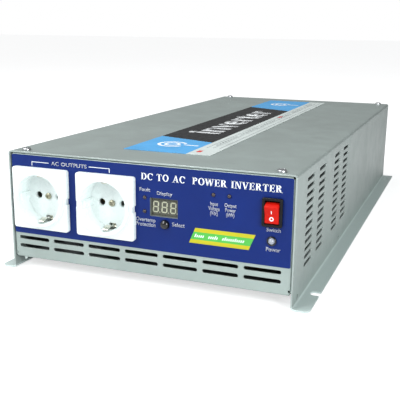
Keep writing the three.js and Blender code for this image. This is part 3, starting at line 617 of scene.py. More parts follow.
# %% [markdown]
# ## Punched and folded sheet
# The cover and both end panels are made as a sheet-metal shop makes them: a flat blank is cut
# out, its slots are punched, and the blank is folded. Cutting slots out of a finished box with
# booleans would also work, but a hundred of them are slow and leave ragged faces. Geometry
# Nodes punch the blank: one small tree lays a row of round-ended slots, a bigger tree gathers
# the rows with the outline of the blank, and filling the outlines leaves every slot open.

# %% Geometry Nodes: a row of slots
GEOMETRY = "NodeSocketGeometry"
WHOLE = "NodeSocketInt"
MATERIAL = "NodeSocketMaterial"


def make_slot_row():
    tree, source, sink = group_tree(
        "slot row", "GeometryNodeTree",
        [("First", VECTOR, (0.0, 0.0, 0.0)), ("Step", VECTOR, (0.0, 0.0, 0.0)), ("Count", WHOLE, 1),
         ("Length", FLOAT, 0.02), ("Width", FLOAT, 0.003), ("Turn", FLOAT, 0.0)],
        [("Outlines", GEOMETRY)])
    places = add(tree, "GeometryNodeMeshLine", {
        "Count": source["Count"], "Start Location": source["First"], "Offset": source["Step"]},
        mode="OFFSET")
    slot = add(tree, "GeometryNodeCurvePrimitiveQuadrilateral", {
        "Width": source["Length"], "Height": source["Width"]})
    end = add(tree, "ShaderNodeMath", {0: source["Width"], 1: 0.499}, operation="MULTIPLY")
    round_end = add(tree, "GeometryNodeFilletCurve", {
        "Curve": slot.outputs["Curve"], "Radius": end.outputs[0], "Count": 6}, mode="POLY")
    turn = add(tree, "ShaderNodeCombineXYZ", {"Z": source["Turn"]})
    placed = add(tree, "GeometryNodeInstanceOnPoints", {
        "Points": places.outputs["Mesh"], "Instance": round_end.outputs["Curve"],
        "Rotation": turn.outputs["Vector"]})
    real = add(tree, "GeometryNodeRealizeInstances", {"Geometry": placed.outputs["Instances"]})
    tree.links.new(real.outputs["Geometry"], sink["Outlines"])
    return tree


SLOT_ROW = make_slot_row()
print("geometry group:", SLOT_ROW.name)

# %% Geometry Nodes: a punched blank
def sheet_tree(name, rows):
    """A tree that fills a drawn outline and leaves rows of slots open in it."""
    tree, source, sink = group_tree(
        name, "GeometryNodeTree",
        [("Outline", GEOMETRY, None), ("Slot Length", FLOAT, 0.02), ("Slot Width", FLOAT, 0.003),
         ("Pitch", FLOAT, 0.01), ("Count", WHOLE, 1), ("Finish", MATERIAL, None)],
        [("Sheet", GEOMETRY)])
    drawn = add(tree, "GeometryNodeMeshToCurve", {"Mesh": source["Outline"]})
    gathered = add(tree, "GeometryNodeJoinGeometry")
    tree.links.new(drawn.outputs["Curve"], gathered.inputs[0])
    for first, direction, turn in rows:
        step = add(tree, "ShaderNodeVectorMath", {0: direction, "Scale": source["Pitch"]},
                   operation="SCALE")
        row = add(tree, "GeometryNodeGroup", node_tree=SLOT_ROW)
        row.inputs["First"].default_value = [value * MM for value in first]
        row.inputs["Turn"].default_value = turn
        tree.links.new(step.outputs["Vector"], row.inputs["Step"])
        for label, given in (("Count", "Count"), ("Length", "Slot Length"), ("Width", "Slot Width")):
            tree.links.new(source[given], row.inputs[label])
        tree.links.new(row.outputs["Outlines"], gathered.inputs[0])
    filled = add(tree, "GeometryNodeFillCurve", {"Curve": gathered.outputs["Geometry"]})
    return end_in_finish(tree, filled.outputs["Mesh"], source, sink)


def run_tree(obj, tree, values):
    """Adds a tree as a modifier, sets its named inputs by identifier and settles the result."""
    modifier = obj.modifiers.new(tree.name, "NODES")
    modifier.node_group = tree
    for item in tree.interface.items_tree:
        if item.item_type == "SOCKET" and item.in_out == "INPUT" and item.name in values:
            modifier[item.identifier] = values[item.name]
    return settle(obj)


def punched_blank(name, loops, tree, values):
    points, edges = [], []
    for loop in loops:
        first = len(points)
        points += [(u * MM, v * MM, 0) for u, v in loop]
        edges += [(first + i, first + (i + 1) % len(loop)) for i in range(len(loop))]
    return run_tree(mesh_object(name, points, edges, []), tree, values)


print("sheet trees ready")

# %% [markdown]
# Folding moves points only, so the blank first needs points where it will curve. It is scored
# with a few straight cuts in each bend, and with one more just outside it, which keeps the
# shading of the flat beside the bend flat. A fold then maps the distance along the blank onto
# an arc, and Solidify gives the thin sheet its gauge.

# %% Score, fold and thicken
SHEET = 1.2
QUARTER = math.pi / 2


def bend_lines(start, radius, steps=6, hold=0.4):
    arc = radius * QUARTER
    return [start - hold, *(start + arc * i / steps for i in range(steps + 1)), start + arc + hold]


def cut_across(work, place, normal):
    everything = work.verts[:] + work.edges[:] + work.faces[:]
    bmesh.ops.bisect_plane(work, geom=everything, dist=1e-7, plane_co=place, plane_no=normal)


def score(obj, axis, lines):
    normal = Vector((1, 0, 0)) if axis == "u" else Vector((0, 1, 0))
    work = bmesh.new()
    work.from_mesh(obj.data)
    for line in lines:
        cut_across(work, normal * line * MM, normal)
    work.to_mesh(obj.data)
    work.free()


def fold(obj, place, gauge=SHEET):
    """Moves every point of a blank to place(u, v), in mm about the case's origin."""
    for vertex in obj.data.vertices:
        x, y, z = place(vertex.co.x / MM, vertex.co.y / MM)
        vertex.co = CASE_ORIGIN + Vector((x, y, z)) * MM
    return smooth(thicken(obj, gauge))


print("folding helpers ready")

# %% [markdown]
# ## The cover
# One sheet makes the roof, both sides and both mounting flanges. Its half section is five runs:
# roof, bend, wall, bend, flange. The blank is drawn flat about the middle of the roof, with the
# open fixing slots and cut corners in its outline and the small round holes as loops inside it.
# Each side has four columns of twelve slots.

# %% Draw the blank of the cover
COVER = {"bend": 1.8, "flange": 12.5, "slot_z": 24.0, "slot_pitch": 5.97, "slot_rows": 12,
         "slot_length": 24.5, "slot_width": 2.8}
SIDE_SLOT_STARTS = [32, 74, 136, 178.5]
SCREW_NODES = [f"{end}_{side}_cover_screw" for end in ("front", "rear") for side in ("left", "right")]
FIXING = {"y": 37.4, "radius": 4.2, "inset": 9.0, "corner": 3.0, "rear_y": 489, "rear_inset": 6.1}
WALL_MID = COVER_HIGH.x / MM - COVER["flange"] - SHEET / 2
ROOF_MID = HEIGHT - SHEET / 2
FLANGE_MID = SHEET / 2
ARC = COVER["bend"] * QUARTER
ROOF_FLAT = WALL_MID - COVER["bend"]
WALL_START = ROOF_FLAT + ARC
WALL_FLAT = ROOF_MID - FLANGE_MID - 2 * COVER["bend"]
FLANGE_START = WALL_START + WALL_FLAT + ARC
BLANK_HALF = FLANGE_START + COVER["flange"] + SHEET / 2 - COVER["bend"]


def wall_at(z):
    """Where a height on the wall lies on the half blank."""
    return WALL_START + ROOF_MID - COVER["bend"] - z


def flange_at(inset):
    """Where a distance outside the wall's outer face lies on the half blank."""
    return FLANGE_START + inset + SHEET / 2 - COVER["bend"]


def cover_outline():
    right = [(BLANK_HALF - FIXING["corner"], 0), (BLANK_HALF, FIXING["corner"])]
    centre = flange_at(FIXING["inset"])
    right.append((BLANK_HALF, FIXING["y"] - FIXING["radius"]))
    for step in range(13):
        angle = -QUARTER - math.pi * step / 12
        right.append((centre + FIXING["radius"] * math.cos(angle),
                      FIXING["y"] + FIXING["radius"] * math.sin(angle)))
    right += [(BLANK_HALF, FIXING["y"] + FIXING["radius"]), (BLANK_HALF, DEPTH)]
    return right + [(-u, v) for u, v in reversed(right)]


def cover_holes():
    holes = []
    for low, high in map(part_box, SCREW_NODES):
        holes.append(circle((low.x + high.x) / 2 / MM, ((low.y + high.y) / 2 - FRONT) / MM, 1.9, 20))
    for side in (-1, 1):
        holes.append(circle(side * flange_at(FIXING["rear_inset"]), FIXING["rear_y"], 2.5, 24))
        for step in range(4):
            holes.append(circle(side * wall_at(5.2), 15.2 + 161.4 * step, 2.4, 24))
    return holes


print("cover blank:", round(2 * BLANK_HALF, 1), "mm wide")

# %% Punch and fold the cover
def cover_place(u, v):
    side = -1 if u < 0 else 1
    run = abs(u)
    bend = COVER["bend"]
    if run <= ROOF_FLAT:
        return u, v, ROOF_MID
    if run <= WALL_START:
        angle = (run - ROOF_FLAT) / bend
        return side * (ROOF_FLAT + bend * math.sin(angle)), v, ROOF_MID - bend * (1 - math.cos(angle))
    if run <= WALL_START + WALL_FLAT:
        return side * WALL_MID, v, ROOF_MID - bend - (run - WALL_START)
    if run <= FLANGE_START:
        angle = (run - WALL_START - WALL_FLAT) / bend
        return (side * (WALL_MID + bend * (1 - math.cos(angle))), v,
                FLANGE_MID + bend - bend * math.sin(angle))
    return side * (WALL_MID + bend + run - FLANGE_START), v, FLANGE_MID


columns = [((side * wall_at(COVER["slot_z"]), start + COVER["slot_length"] / 2, 0),
            (-side, 0, 0), QUARTER) for side in (-1, 1) for start in SIDE_SLOT_STARTS]
cover = punched_blank("case_cover", [cover_outline()] + cover_holes(),
                      sheet_tree("cover sheet", columns), {
    "Slot Length": COVER["slot_length"] * MM, "Slot Width": COVER["slot_width"] * MM,
    "Pitch": COVER["slot_pitch"] * MM, "Count": COVER["slot_rows"], "Finish": FINISH["paint"]})
for side in (-1, 1):
    for start in (ROOF_FLAT, WALL_START + WALL_FLAT):
        score(cover, "u", [side * line for line in bend_lines(start, COVER["bend"])])
fold(cover, cover_place)
show(cover, "housing_paint", "top_cover")

# %% [markdown]
# ## The end panels
# Both ends are closed by the same kind of panel: a plate with a lip folded back on all four
# sides, so that the cover can be screwed to it. Where two bends meet, a round relief notch
# keeps the metal from tearing, and it stays visible as a small dark dot in each corner. The
# blank is a plus sign with those notches in its inner corners. The front panel also has two
# rows of seven cooling slots under the label, and an opening behind every part it carries.

# %% Shape of a panel
PANEL = {"bend": 0.75, "lip": 12.0, "recess": 1.0, "relief": 1.3}
PANEL_LOW, PANEL_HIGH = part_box("front_panel")
PANEL_SIDE = PANEL_HIGH.x / MM - SHEET / 2
PANEL_MIDDLE = (PANEL_LOW.z + PANEL_HIGH.z) / 2 / MM
PANEL_RISE = (PANEL_HIGH.z - PANEL_LOW.z) / 2 / MM - SHEET / 2
SIDE_FLAT = PANEL_SIDE - PANEL["bend"]
RISE_FLAT = PANEL_RISE - PANEL["bend"]
LIP_RUN = PANEL["bend"] * QUARTER + PANEL["lip"] - SHEET / 2 - PANEL["bend"]


def panel_outline():
    """The plus-shaped blank, with a round notch where each pair of lips meets."""
    notch_u, notch_v, radius = SIDE_FLAT + 0.9, RISE_FLAT + 0.9, PANEL["relief"]
    lip_end_u, lip_end_v = SIDE_FLAT - 0.1, RISE_FLAT - 0.1
    start = math.acos((lip_end_u - notch_u) / radius)
    end = 2 * math.pi + math.asin((lip_end_v - notch_v) / radius)
    corner = [(lip_end_u, RISE_FLAT + LIP_RUN)]
    for step in range(11):
        angle = start + (end - start) * step / 10
        corner.append((notch_u + radius * math.cos(angle), notch_v + radius * math.sin(angle)))
    corner.append((SIDE_FLAT + LIP_RUN, lip_end_v))
    top = [(-u, v) for u, v in reversed(corner)] + corner
    return top + [(u, -v) for u, v in reversed(top)]


def lip(distance, flat):
    """Folds one distance along the blank into a distance along the plate and a depth."""
    side = -1 if distance < 0 else 1
    run = abs(distance)
    bend = PANEL["bend"]
    if run <= flat:
        return distance, 0.0
    angle = (run - flat) / bend
    if angle <= QUARTER:
        return side * (flat + bend * math.sin(angle)), bend * (1 - math.cos(angle))
    return side * (flat + bend), bend + run - flat - bend * QUARTER


def panel_place(u, v, front=True):
    x, depth_x = lip(u, SIDE_FLAT)
    z, depth_z = lip(v, RISE_FLAT)
    y = PANEL["recess"] + SHEET / 2 + depth_x + depth_z
    return (x, y if front else DEPTH - y, z + PANEL_MIDDLE)


def make_panel(name, holes, tree, values, front=True):
    loops = [[(x, z - PANEL_MIDDLE) for x, z in hole] for hole in holes]
    panel = punched_blank(name, [panel_outline()] + loops, tree, values)
    score(panel, "u", [side * line for side in (-1, 1)
                       for line in bend_lines(SIDE_FLAT, PANEL["bend"])])
    score(panel, "v", [side * line for side in (-1, 1)
                       for line in bend_lines(RISE_FLAT, PANEL["bend"])])
    return fold(panel, lambda u, v: panel_place(u, v, front))


print("panel flat:", round(2 * SIDE_FLAT, 1), "x", round(2 * RISE_FLAT, 1), "mm")

# %% Openings of the front panel
LEDS = ["fault_led", "overheat_led", "input_level_led", "output_level_led"]


def centre_mm(node):
    place = middle(node)
    return place.x / MM, place.z / MM


def front_openings():
    """Loops in x and z, in mm, behind the outlets, the switch, the readout and the lamps."""
    loops = [circle(*centre_mm(f"{side}_socket_cover"), 22.4) for side in ("left", "right")]
    loops += [circle(*centre_mm(led), 1.62, 24) for led in LEDS]
    loops.append(rounded_box(*centre_mm("rocker_housing"), 13.6, 19.6, 0.5))
    loops.append(circle(*centre_mm("power_led_ring"), 3.2))
    loops.append(rounded_box(*centre_mm("display_module"), 22.8, 14.2, 0.4))
    loops.append(circle(*centre_mm("select_button"), 3.7))
    return loops


FRONT_SLOTS = {"first_x": -98.3, "heights": [20.4, 27.4], "pitch": 32.26, "count": 7,
               "length": 28.2, "width": 3.0}
rows = [((FRONT_SLOTS["first_x"], height - PANEL_MIDDLE, 0), (1, 0, 0), 0.0)
        for height in FRONT_SLOTS["heights"]]
reliefs = [circle(side * (SIDE_FLAT + 0.1), PANEL_LOW.z / MM + 3.4, 1.1, 20) for side in (-1, 1)]
front_panel = make_panel("front_plate", front_openings() + reliefs, sheet_tree("front sheet", rows), {
    "Slot Length": FRONT_SLOTS["length"] * MM, "Slot Width": FRONT_SLOTS["width"] * MM,
    "Pitch": FRONT_SLOTS["pitch"] * MM, "Count": FRONT_SLOTS["count"], "Finish": FINISH["panel"]})
show(front_panel, "panel_paint", "front_panel")

# %% The rear panel
FAN_BOLT = 35.75
FANS = ("left", "right")


def rear_openings():
    loops = []
    for side in FANS:
        x, z = centre_mm(f"{side}_fan_frame")
        loops.append(circle(x, z, 37.5, 72))
        loops += [circle(x + a * FAN_BOLT, z + b * FAN_BOLT, 2.2, 16) for a in (-1, 1) for b in (-1, 1)]
    loops += [circle(*centre_mm(f"{pole}_terminal_stud"), 7.6) for pole in ("positive", "negative")]
    loops.append(circle(*centre_mm("ground_stud"), 3.3, 24))
    return loops


PLAIN_SHEET = sheet_tree("plain sheet", [])
rear_panel = make_panel("rear_plate", rear_openings(), PLAIN_SHEET, {"Finish": FINISH["panel"]}, False)
show(rear_panel, "panel_paint", "rear_panel")

# %% [markdown]
# ## The printed front film
# A deep blue film with white lettering covers the plate above the slots. It is one thin sheet
# with rounded corners and an opening for each part. Its colour is printed on the back of clear
# film, and the ink is slightly mottled.

# %% Blue film
FILM = {"corner": 1.2, "edge": -0.4}


def film_material(name, colour, gloss=0.42):
    return finish_of(name, colour, gloss, drift=0.07, cloud=0.03, grain=0.0004, bump=0.06,
                     edge=[min(255, step + 30) for step in colour], edge_share=0.4, shine=0.22)


INK = {
    "blue": film_material("blue ink", (6, 35, 104)),
    "white": film_material("white ink", (240, 246, 250)),
    "sky": film_material("sky blue ink", (82, 162, 218)),
    "charcoal": film_material("charcoal ink", (28, 30, 32)),
    "paper": film_material("white film", (200, 210, 208)),
    "yellow": film_material("yellow ink", (184, 178, 38)),
    "green": film_material("green ink", (82, 176, 76)),
    "red": film_material("red ink", (208, 72, 66)),
    "grey": film_material("grey ink", (120, 126, 128)),
}


def film_outline(bottom):
    half = SIDE_FLAT - FILM["edge"]
    top = PANEL_MIDDLE + RISE_FLAT - FILM["edge"]
    middle_z = (top + bottom) / 2
    return rounded_box(0, middle_z, 2 * half, top - bottom, FILM["corner"])


film_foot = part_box("front_label")[0].z / MM
loops = [[(x, z - PANEL_MIDDLE) for x, z in loop]
         for loop in [film_outline(film_foot)] + front_openings()]
film = punched_blank("front_film", loops, PLAIN_SHEET, {"Finish": INK["blue"]})
FILM_FRONT, FILM_BACK = reach("front_label")
fold(film, lambda u, v: (u, (FILM_FRONT + FILM_BACK) / 2, v + PANEL_MIDDLE), FILM_BACK - FILM_FRONT)
show(film, "front_label_blue", "front_label")

# %% [markdown]
# ## Lettering
# The captions are generic words in white ink. Blender's own font is a plain sans, while the
# big title on such panels is a bold serif, so the title's capitals are drawn here: each letter
# is a few strokes on a grid one unit high, thick stems, thin arms and small slabs for feet. The
# small captions are set in the plain font, as thin raised mesh.

# %% Captions in the plain font
PRINT = {"front": FILM_FRONT - 0.03, "thickness": 0.02, "aside": 1.2}


def flat_text(name, text, weight=0.0):
    """Text as a mesh in x and y, with its lower left corner at the origin."""
    curve = bpy.data.curves.new(name, "FONT")
    curve.body = text
    curve.size = 1.0
    curve.offset = weight
    curve.resolution_u = 3
    curve.align_x = "CENTER"
    curve.space_line = 0.85
    writing = bpy.data.objects.new(name, curve)
    bpy.context.scene.collection.objects.link(writing)
    seen = writing.evaluated_get(bpy.context.evaluated_depsgraph_get())
    mesh = bpy.data.meshes.new_from_object(seen)
    drop(writing)
    return mesh


def flat_mesh(name, outlines):
    """A flat mesh with one face for each outline of (a, b) points."""
    points, faces = [], []
    for outline in outlines:
        faces.append(list(range(len(points), len(points) + len(outline))))
        points += [(a, b, 0) for a, b in outline]
    mesh = bpy.data.meshes.new(name)
    mesh.from_pydata(points, [], faces)
    return mesh


def put_down(mesh, place):
    """Moves each point of a flat mesh to place(a, b), in mm about the case's origin."""
    for vertex in mesh.vertices:
        vertex.co = CASE_ORIGIN + Vector(place(vertex.co.x, vertex.co.y)) * MM
    return mesh


def field(left, right, low, high):
    return [(left, low), (right, low), (right, high), (left, high)]


def lay(mesh, left, right, bottom, top, place):
    """Stretches a flat mesh over a field and puts each point where place(a, b) says."""
    low = [min(vertex.co[i] for vertex in mesh.vertices) for i in (0, 1)]
    high = [max(vertex.co[i] for vertex in mesh.vertices) for i in (0, 1)]

    def spread(a, b):
        return place(left + (right - left) * (a - low[0]) / (high[0] - low[0]),
                     bottom + (top - bottom) * (b - low[1]) / (high[1] - low[1]))

    return put_down(mesh, spread)


def on_film(a, b):
    """The printing is centred a little to the right of the plate's middle."""
    return a + PRINT["aside"], PRINT["front"], b


def printed(name, meshes, material, slot, gauge=PRINT["thickness"]):
    """Joins flat meshes into one thin printed piece."""
    obj = piece(name, [], [], material=material)
    work = bmesh.new()
    for mesh in meshes:
        work.from_mesh(mesh)
    work.to_mesh(obj.data)
    work.free()
    one_finish(obj, material)
    for face in obj.data.polygons:
        face.material_index = 0
    show(thicken(clean(obj, 0.0005), gauge), slot)
    return obj


CAPTIONS = [
    ("AC OUTPUTS", -80.2, -48.4, 89.9, 92.9), ("Fault", -3.2, 5.6, 76.9, 79.6),
    ("Display", 11.2, 23.6, 74.2, 77.8), ("Overtemp\nProtection", -6.5, 9.9, 49.8, 56.6),
    ("Select", 23.5, 33.6, 52.1, 55.1), ("Input\nVoltage\n(Vdc)", 52.2, 60.8, 63.4, 74.2),
    ("Output\nPower\n(kW)", 64.6, 73.6, 63.4, 74.2), ("Switch", 96.2, 106.8, 56.9, 59.8),
    ("Power", 96.4, 107.0, 42.4, 45.4)]
words = [lay(flat_text("caption", text, 0.008), *area, on_film) for text, *area in CAPTIONS]
printed("panel_captions", words, INK["white"], "front_label_blue")

# %% Title letters drawn from strokes
STEM, HAIR, FOOT = 0.2, 0.08, 0.34


def bar(a0, b0, a1, b1, width):
    """A stroke between two points, as four corners. Its width is measured along a."""
    half = width / 2
    return [(a0 - half, b0), (a0 + half, b0), (a1 + half, b1), (a1 - half, b1)]


def level(a0, a1, b, height=HAIR):
    return [(a0, b), (a1, b), (a1, b + height), (a0, b + height)]


def foot(a, b):
    return level(a - FOOT / 2, a + FOOT / 2, b, HAIR * 0.8)


def stem(a, top_foot=True, low_foot=True):
    feet = [foot(a, 1 - HAIR * 0.8)] * top_foot + [foot(a, 0)] * low_foot
    return [bar(a, 0, a, 1, STEM)] + feet


def bowl(a, b, wide, high, start, end, thick=STEM, thin=HAIR, steps=14):
    """An arc as a run of four-cornered pieces, thick at its sides and thin at top and bottom."""
    pieces = []
    rim = []
    for step in range(steps + 1):
        angle = math.radians(start + (end - start) * step / steps)
        c, s = math.cos(angle), math.sin(angle)
        outer = (a + wide * c, b + high * s)
        inner = (a + (wide - thick) * c, b + (high - thin) * s)
        rim.append((outer, inner))
    for (o0, i0), (o1, i1) in zip(rim, rim[1:]):
        pieces.append([o0, o1, i1, i0])
    return pieces


LETTERS = {
    "D": (0.84, stem(0.2) + bowl(0.3, 0.5, 0.52, 0.5, -90, 90)),
    "C": (0.78, bowl(0.45, 0.5, 0.41, 0.5, 42, 318) + [bar(0.76, 0.64, 0.76, 0.96, HAIR)]),
    "T": (0.8, stem(0.4, top_foot=False) + [level(0.04, 0.76, 1 - HAIR), bar(0.08, 0.74, 0.08, 1, HAIR),
                                            bar(0.72, 0.74, 0.72, 1, HAIR)]),
    "O": (0.88, bowl(0.44, 0.5, 0.42, 0.5, 0, 360, steps=28)),
    "A": (0.86, [bar(0.12, 0, 0.42, 1, HAIR), bar(0.7, 0, 0.42, 1, STEM), level(0.24, 0.6, 0.3),
                 foot(0.12, 0), foot(0.7, 0)]),
    "P": (0.74, stem(0.2) + bowl(0.3, 0.74, 0.4, 0.26, -90, 90)),
    "W": (1.2, [bar(0.12, 1, 0.36, 0, STEM), bar(0.6, 1, 0.36, 0, HAIR), bar(0.6, 1, 0.84, 0, STEM),
                bar(1.08, 1, 0.84, 0, HAIR)] + [foot(a, 1 - HAIR * 0.8) for a in (0.12, 0.6, 1.08)]),
    "E": (0.74, stem(0.2) + [level(0.2, 0.66, 1 - HAIR), level(0.2, 0.56, 0.48), level(0.2, 0.68, 0),
                             bar(0.64, 0.76, 0.64, 1, HAIR), bar(0.54, 0.38, 0.54, 0.66, HAIR),
                             bar(0.66, 0, 0.66, 0.26, HAIR)]),
    "R": (0.84, stem(0.2) + bowl(0.3, 0.75, 0.38, 0.25, -90, 90)
          + [bar(0.44, 0.52, 0.68, 0, STEM), foot(0.72, 0)]),
    "I": (0.42, stem(0.21)),
    "N": (0.9, [bar(0.16, 0, 0.16, 1, HAIR), bar(0.76, 0, 0.76, 1, HAIR), bar(0.2, 1, 0.72, 0, STEM),
                foot(0.16, 0), foot(0.76, 1 - HAIR * 0.8), foot(0.16, 1 - HAIR * 0.8)]),
    "V": (0.86, [bar(0.16, 1, 0.46, 0, STEM), bar(0.74, 1, 0.46, 0, HAIR),
                 foot(0.16, 1 - HAIR * 0.8), foot(0.72, 1 - HAIR * 0.8)]),
    " ": (0.42, []),
}


def title_mesh(text, spacing=0.05):
    """A flat mesh of drawn capitals, one face for each stroke."""
    outlines = []
    start = 0.0
    for letter in text:
        width, strokes = LETTERS[letter]
        outlines += [[(start + a, b) for a, b in stroke] for stroke in strokes]
        start += width + spacing
    return flat_mesh("title", outlines)


title = lay(title_mesh("DC TO AC  POWER INVERTER"), -1.8, 107.0, 85.7, 91.0, on_film)
printed("panel_title", [title], INK["white"], "front_label_blue")

# %% Bracket lines over the outlets
def strip_mesh(fields):
    return put_down(flat_mesh("strips", [field(*sides) for sides in fields]), on_film)


LINE = 0.5
plates_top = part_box("left_socket_cover")[1].z / MM
bracket = strip_mesh([(-98.4, -82.6, 91.2, 91.2 + LINE), (-46.4, -28.4, 91.2, 91.2 + LINE),
                      (-98.4, -98.4 + LINE, plates_top + 1, 91.2),
                      (-28.4 - LINE, -28.4, plates_top + 1, 91.2)])
printed("outlet_bracket_lines", [bracket], INK["white"], "front_label_blue")

# %% [markdown]
# ## Printed films with fields of colour
# The slanted sticker has three bands, and the roof film has a sky-blue field at each end, a
# charcoal field between them and a pale strip along its right side. A separate patch for each
# field would leave steps between them. Here one film is scored along the borders and each part
# of it gets its own ink, as a print does.

# %% Split one film into inks
def inked_film(name, corners, cuts, choose, inks, place, gauge, slot, node):
    """A flat film in (a, b) mm, cut along lines of (point, normal), each face given an ink."""
    obj = mesh_object(name, [(a * MM, b * MM, 0) for a, b in corners], [],
                      [list(range(len(corners)))])
    for ink in inks:
        obj.data.materials.append(INK[ink])
    work = bmesh.new()
    work.from_mesh(obj.data)
    for point, normal in cuts:
        cut_across(work, (point[0] * MM, point[1] * MM, 0), (*normal, 0))
    for face in work.faces:
        centre = face.calc_center_median()
        face.material_index = inks.index(choose(centre.x / MM, centre.y / MM))
    for vertex in work.verts:
        vertex.co = CASE_ORIGIN + Vector(place(vertex.co.x / MM, vertex.co.y / MM)) * MM
    work.to_mesh(obj.data)
    work.free()
    show(thicken(obj, gauge), slot, node)


sticker_low, sticker_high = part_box("feature_sticker")
STICKER_FRONT, STICKER_BACK = reach("feature_sticker")
left, right = sticker_low.x / MM, sticker_high.x / MM
low, high = sticker_low.z / MM, sticker_high.z / MM
SLANT = 4.9
band = (high - low) / 4


def sticker_ink(a, b):
    return "green" if low + band < b < high - band else "yellow"


sticker_y = (STICKER_FRONT + STICKER_BACK) / 2
inked_film("slanted_sticker", [(left, low), (right - SLANT, low), (right, high), (left + SLANT, high)],
           [((0, low + band), (0, 1)), ((0, high - band), (0, 1))], sticker_ink, ["yellow", "green"],
           lambda a, b: (a, sticker_y, b), STICKER_BACK - STICKER_FRONT, "sticker_film",
           "feature_sticker")

# %% Bars and dots on the sticker, in place of words
def slanted_bars():
    """A generic printed pattern: short slanted bars in groups, as wide as words would be."""
    outlines = []
    start, step = left + 4.2, 1.55
    for i in range(25):
        if i in (5, 6, 12, 13):
            continue
        tall = 2.7 if i % 5 == 0 else 1.9
        x, z = start + step * i, (low + high) / 2 - 1.2
        lean = SLANT / (high - low) * tall
        outlines.append([(x, z), (x + 0.8, z), (x + 0.8 + lean, z + tall), (x + lean, z + tall)])
    return put_down(flat_mesh("bars", outlines), lambda a, b: (a, STICKER_FRONT - 0.03, b))


printed("sticker_bars", [slanted_bars()], INK["white"], "sticker_film")

# %% The roof film
roof_low, roof_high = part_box("top_label")
ROOF_LEFT, ROOF_RIGHT = roof_low.x / MM, roof_high.x / MM
ROOF_NEAR, ROOF_FAR = reach("top_label")
ROOF_FILM = (roof_low.z + roof_high.z) / 2 / MM
ROOF_TOP = roof_high.z / MM
STRIP_X = 17.7
NEAR_BORDER = ((-38.8, 121), (0.296, 0.955))
FAR_BORDER = ((-35.8, 391), (0.425, 0.905))


def beyond(border, a, b):
    (x, y), (nx, ny) = border
    return (a - x) * nx + (b - y) * ny > 0


def roof_ink(a, b):
    if a > STRIP_X:
        return "paper"
    if beyond(FAR_BORDER, a, b) or not beyond(NEAR_BORDER, a, b):
        return "sky"
    return "charcoal"


inked_film("roof_film", field(ROOF_LEFT, ROOF_RIGHT, ROOF_NEAR, ROOF_FAR),
           [((STRIP_X, 0), (1, 0)), NEAR_BORDER, FAR_BORDER], roof_ink, ["paper", "sky", "charcoal"],
           lambda a, b: (a, b, ROOF_FILM),
           ROOF_TOP - roof_low.z / MM, "top_label_film", "top_label")

# %% Word, rings and lines on the roof film
def on_roof(a, b):
    return a, b, ROOF_TOP + 0.02


def ring_mark(centre_x, centre_y, outer, inner, start, end, steps=36):
    points, faces = [], []
    for step in range(steps + 1):
        angle = math.radians(start + (end - start) * step / steps)
        for radius in (outer, inner):
            points.append((centre_x + radius * math.cos(angle), centre_y + radius * math.sin(angle), 0))
    for step in range(steps):
        faces.append((2 * step, 2 * step + 1, 2 * step + 3, 2 * step + 2))
    mesh = bpy.data.meshes.new("ring")
    mesh.from_pydata(points, [], faces)
    return put_down(mesh, on_roof)


def roof_strip(fields):
    return put_down(flat_mesh("roof strip", [field(*sides) for sides in fields]), on_roof)


# The word reads from front to back. Four copies a hair apart, each a little higher, embolden it.
marks = []
for step, (along, across) in enumerate(((-1.2, -0.7), (1.2, -0.7), (-1.2, 0.7), (1.2, 0.7))):
    marks.append(lay(flat_text("word", "inverter", 0.015), 154 + along, 354 + along, 5 + across,
                     -25.6 + across, lambda a, b: (b, a, ROOF_TOP + 0.02 + 0.03 * step)))
for y in (82, 436):
    marks.append(ring_mark(-10.8, y, 13.0, 10.2, 30, 330))
    marks.append(ring_mark(-10.8, y, 7.2, 4.6, 0, 360))
    marks.append(roof_strip([(-0.3, 13.2, y - 1.5, y + 1.5)]))
printed("roof_word_and_rings", marks, INK["white"], "top_label_film")
fine_lines = [(x, x + 0.5, 76, 470) for x in (22.6, 28.2, 33.8)]
small_dashes = [(25.2, 26.8, 84 + 7.2 * i, 88 + 7.2 * i) for i in range(52) if i % 9]
printed("roof_lines", [roof_strip(fine_lines + small_dashes)], INK["grey"], "top_label_film")
printed("roof_red_marks", [roof_strip([(21.7, 25.7, 54, 62), (21.7, 25.7, 300, 312)])],
        INK["red"], "top_label_film")

# %% [markdown]
# ## Copies on points
# Screws, contacts and the digits of the readout are each one shape in several places. They
# could be copied in a loop, but a small Geometry Nodes tree does it for all of them: it sets a
# copy of a piece on every point, tilts it, and gives each one its own turn about its axis, so
# that no two screw heads line up as if by machine. The seed is fixed.

# %% Geometry Nodes: copies on points
def make_copies_tree():
    tree, source, sink = group_tree(
        "copies on points", "GeometryNodeTree",
        [("Points", GEOMETRY, None), ("Piece", "NodeSocketObject", None),
         ("Tilt", VECTOR, (0.0, 0.0, 0.0)), ("Spin", FLOAT, 0.0), ("Seed", WHOLE, 3),
         ("Finish", MATERIAL, None)],
        [("Copies", GEOMETRY)])
    shape = add(tree, "GeometryNodeObjectInfo", {"Object": source["Piece"]})
    placed = add(tree, "GeometryNodeInstanceOnPoints", {
        "Points": source["Points"], "Instance": shape.outputs["Geometry"], "Rotation": source["Tilt"]})
    chance = add(tree, "FunctionNodeRandomValue", {"Seed": source["Seed"]}, data_type="FLOAT")
    own_turn = add(tree, "ShaderNodeMath", {0: chance.outputs[1], 1: source["Spin"]},
                   operation="MULTIPLY")
    about_axis = add(tree, "ShaderNodeCombineXYZ", {"Z": own_turn.outputs[0]})
    turned_copies = add(tree, "GeometryNodeRotateInstances", {
        "Instances": placed.outputs["Instances"], "Rotation": about_axis.outputs["Vector"],
        "Local Space": True})
    return end_in_finish(tree, turned_copies.outputs["Instances"], source, sink)


COPIES = make_copies_tree()
FACING = {"up": (0.0, 0.0, 0.0), "front": (QUARTER, 0.0, 0.0), "back": (-QUARTER, 0.0, 0.0)}
NO_PLACE = Vector((0, 0, 0))


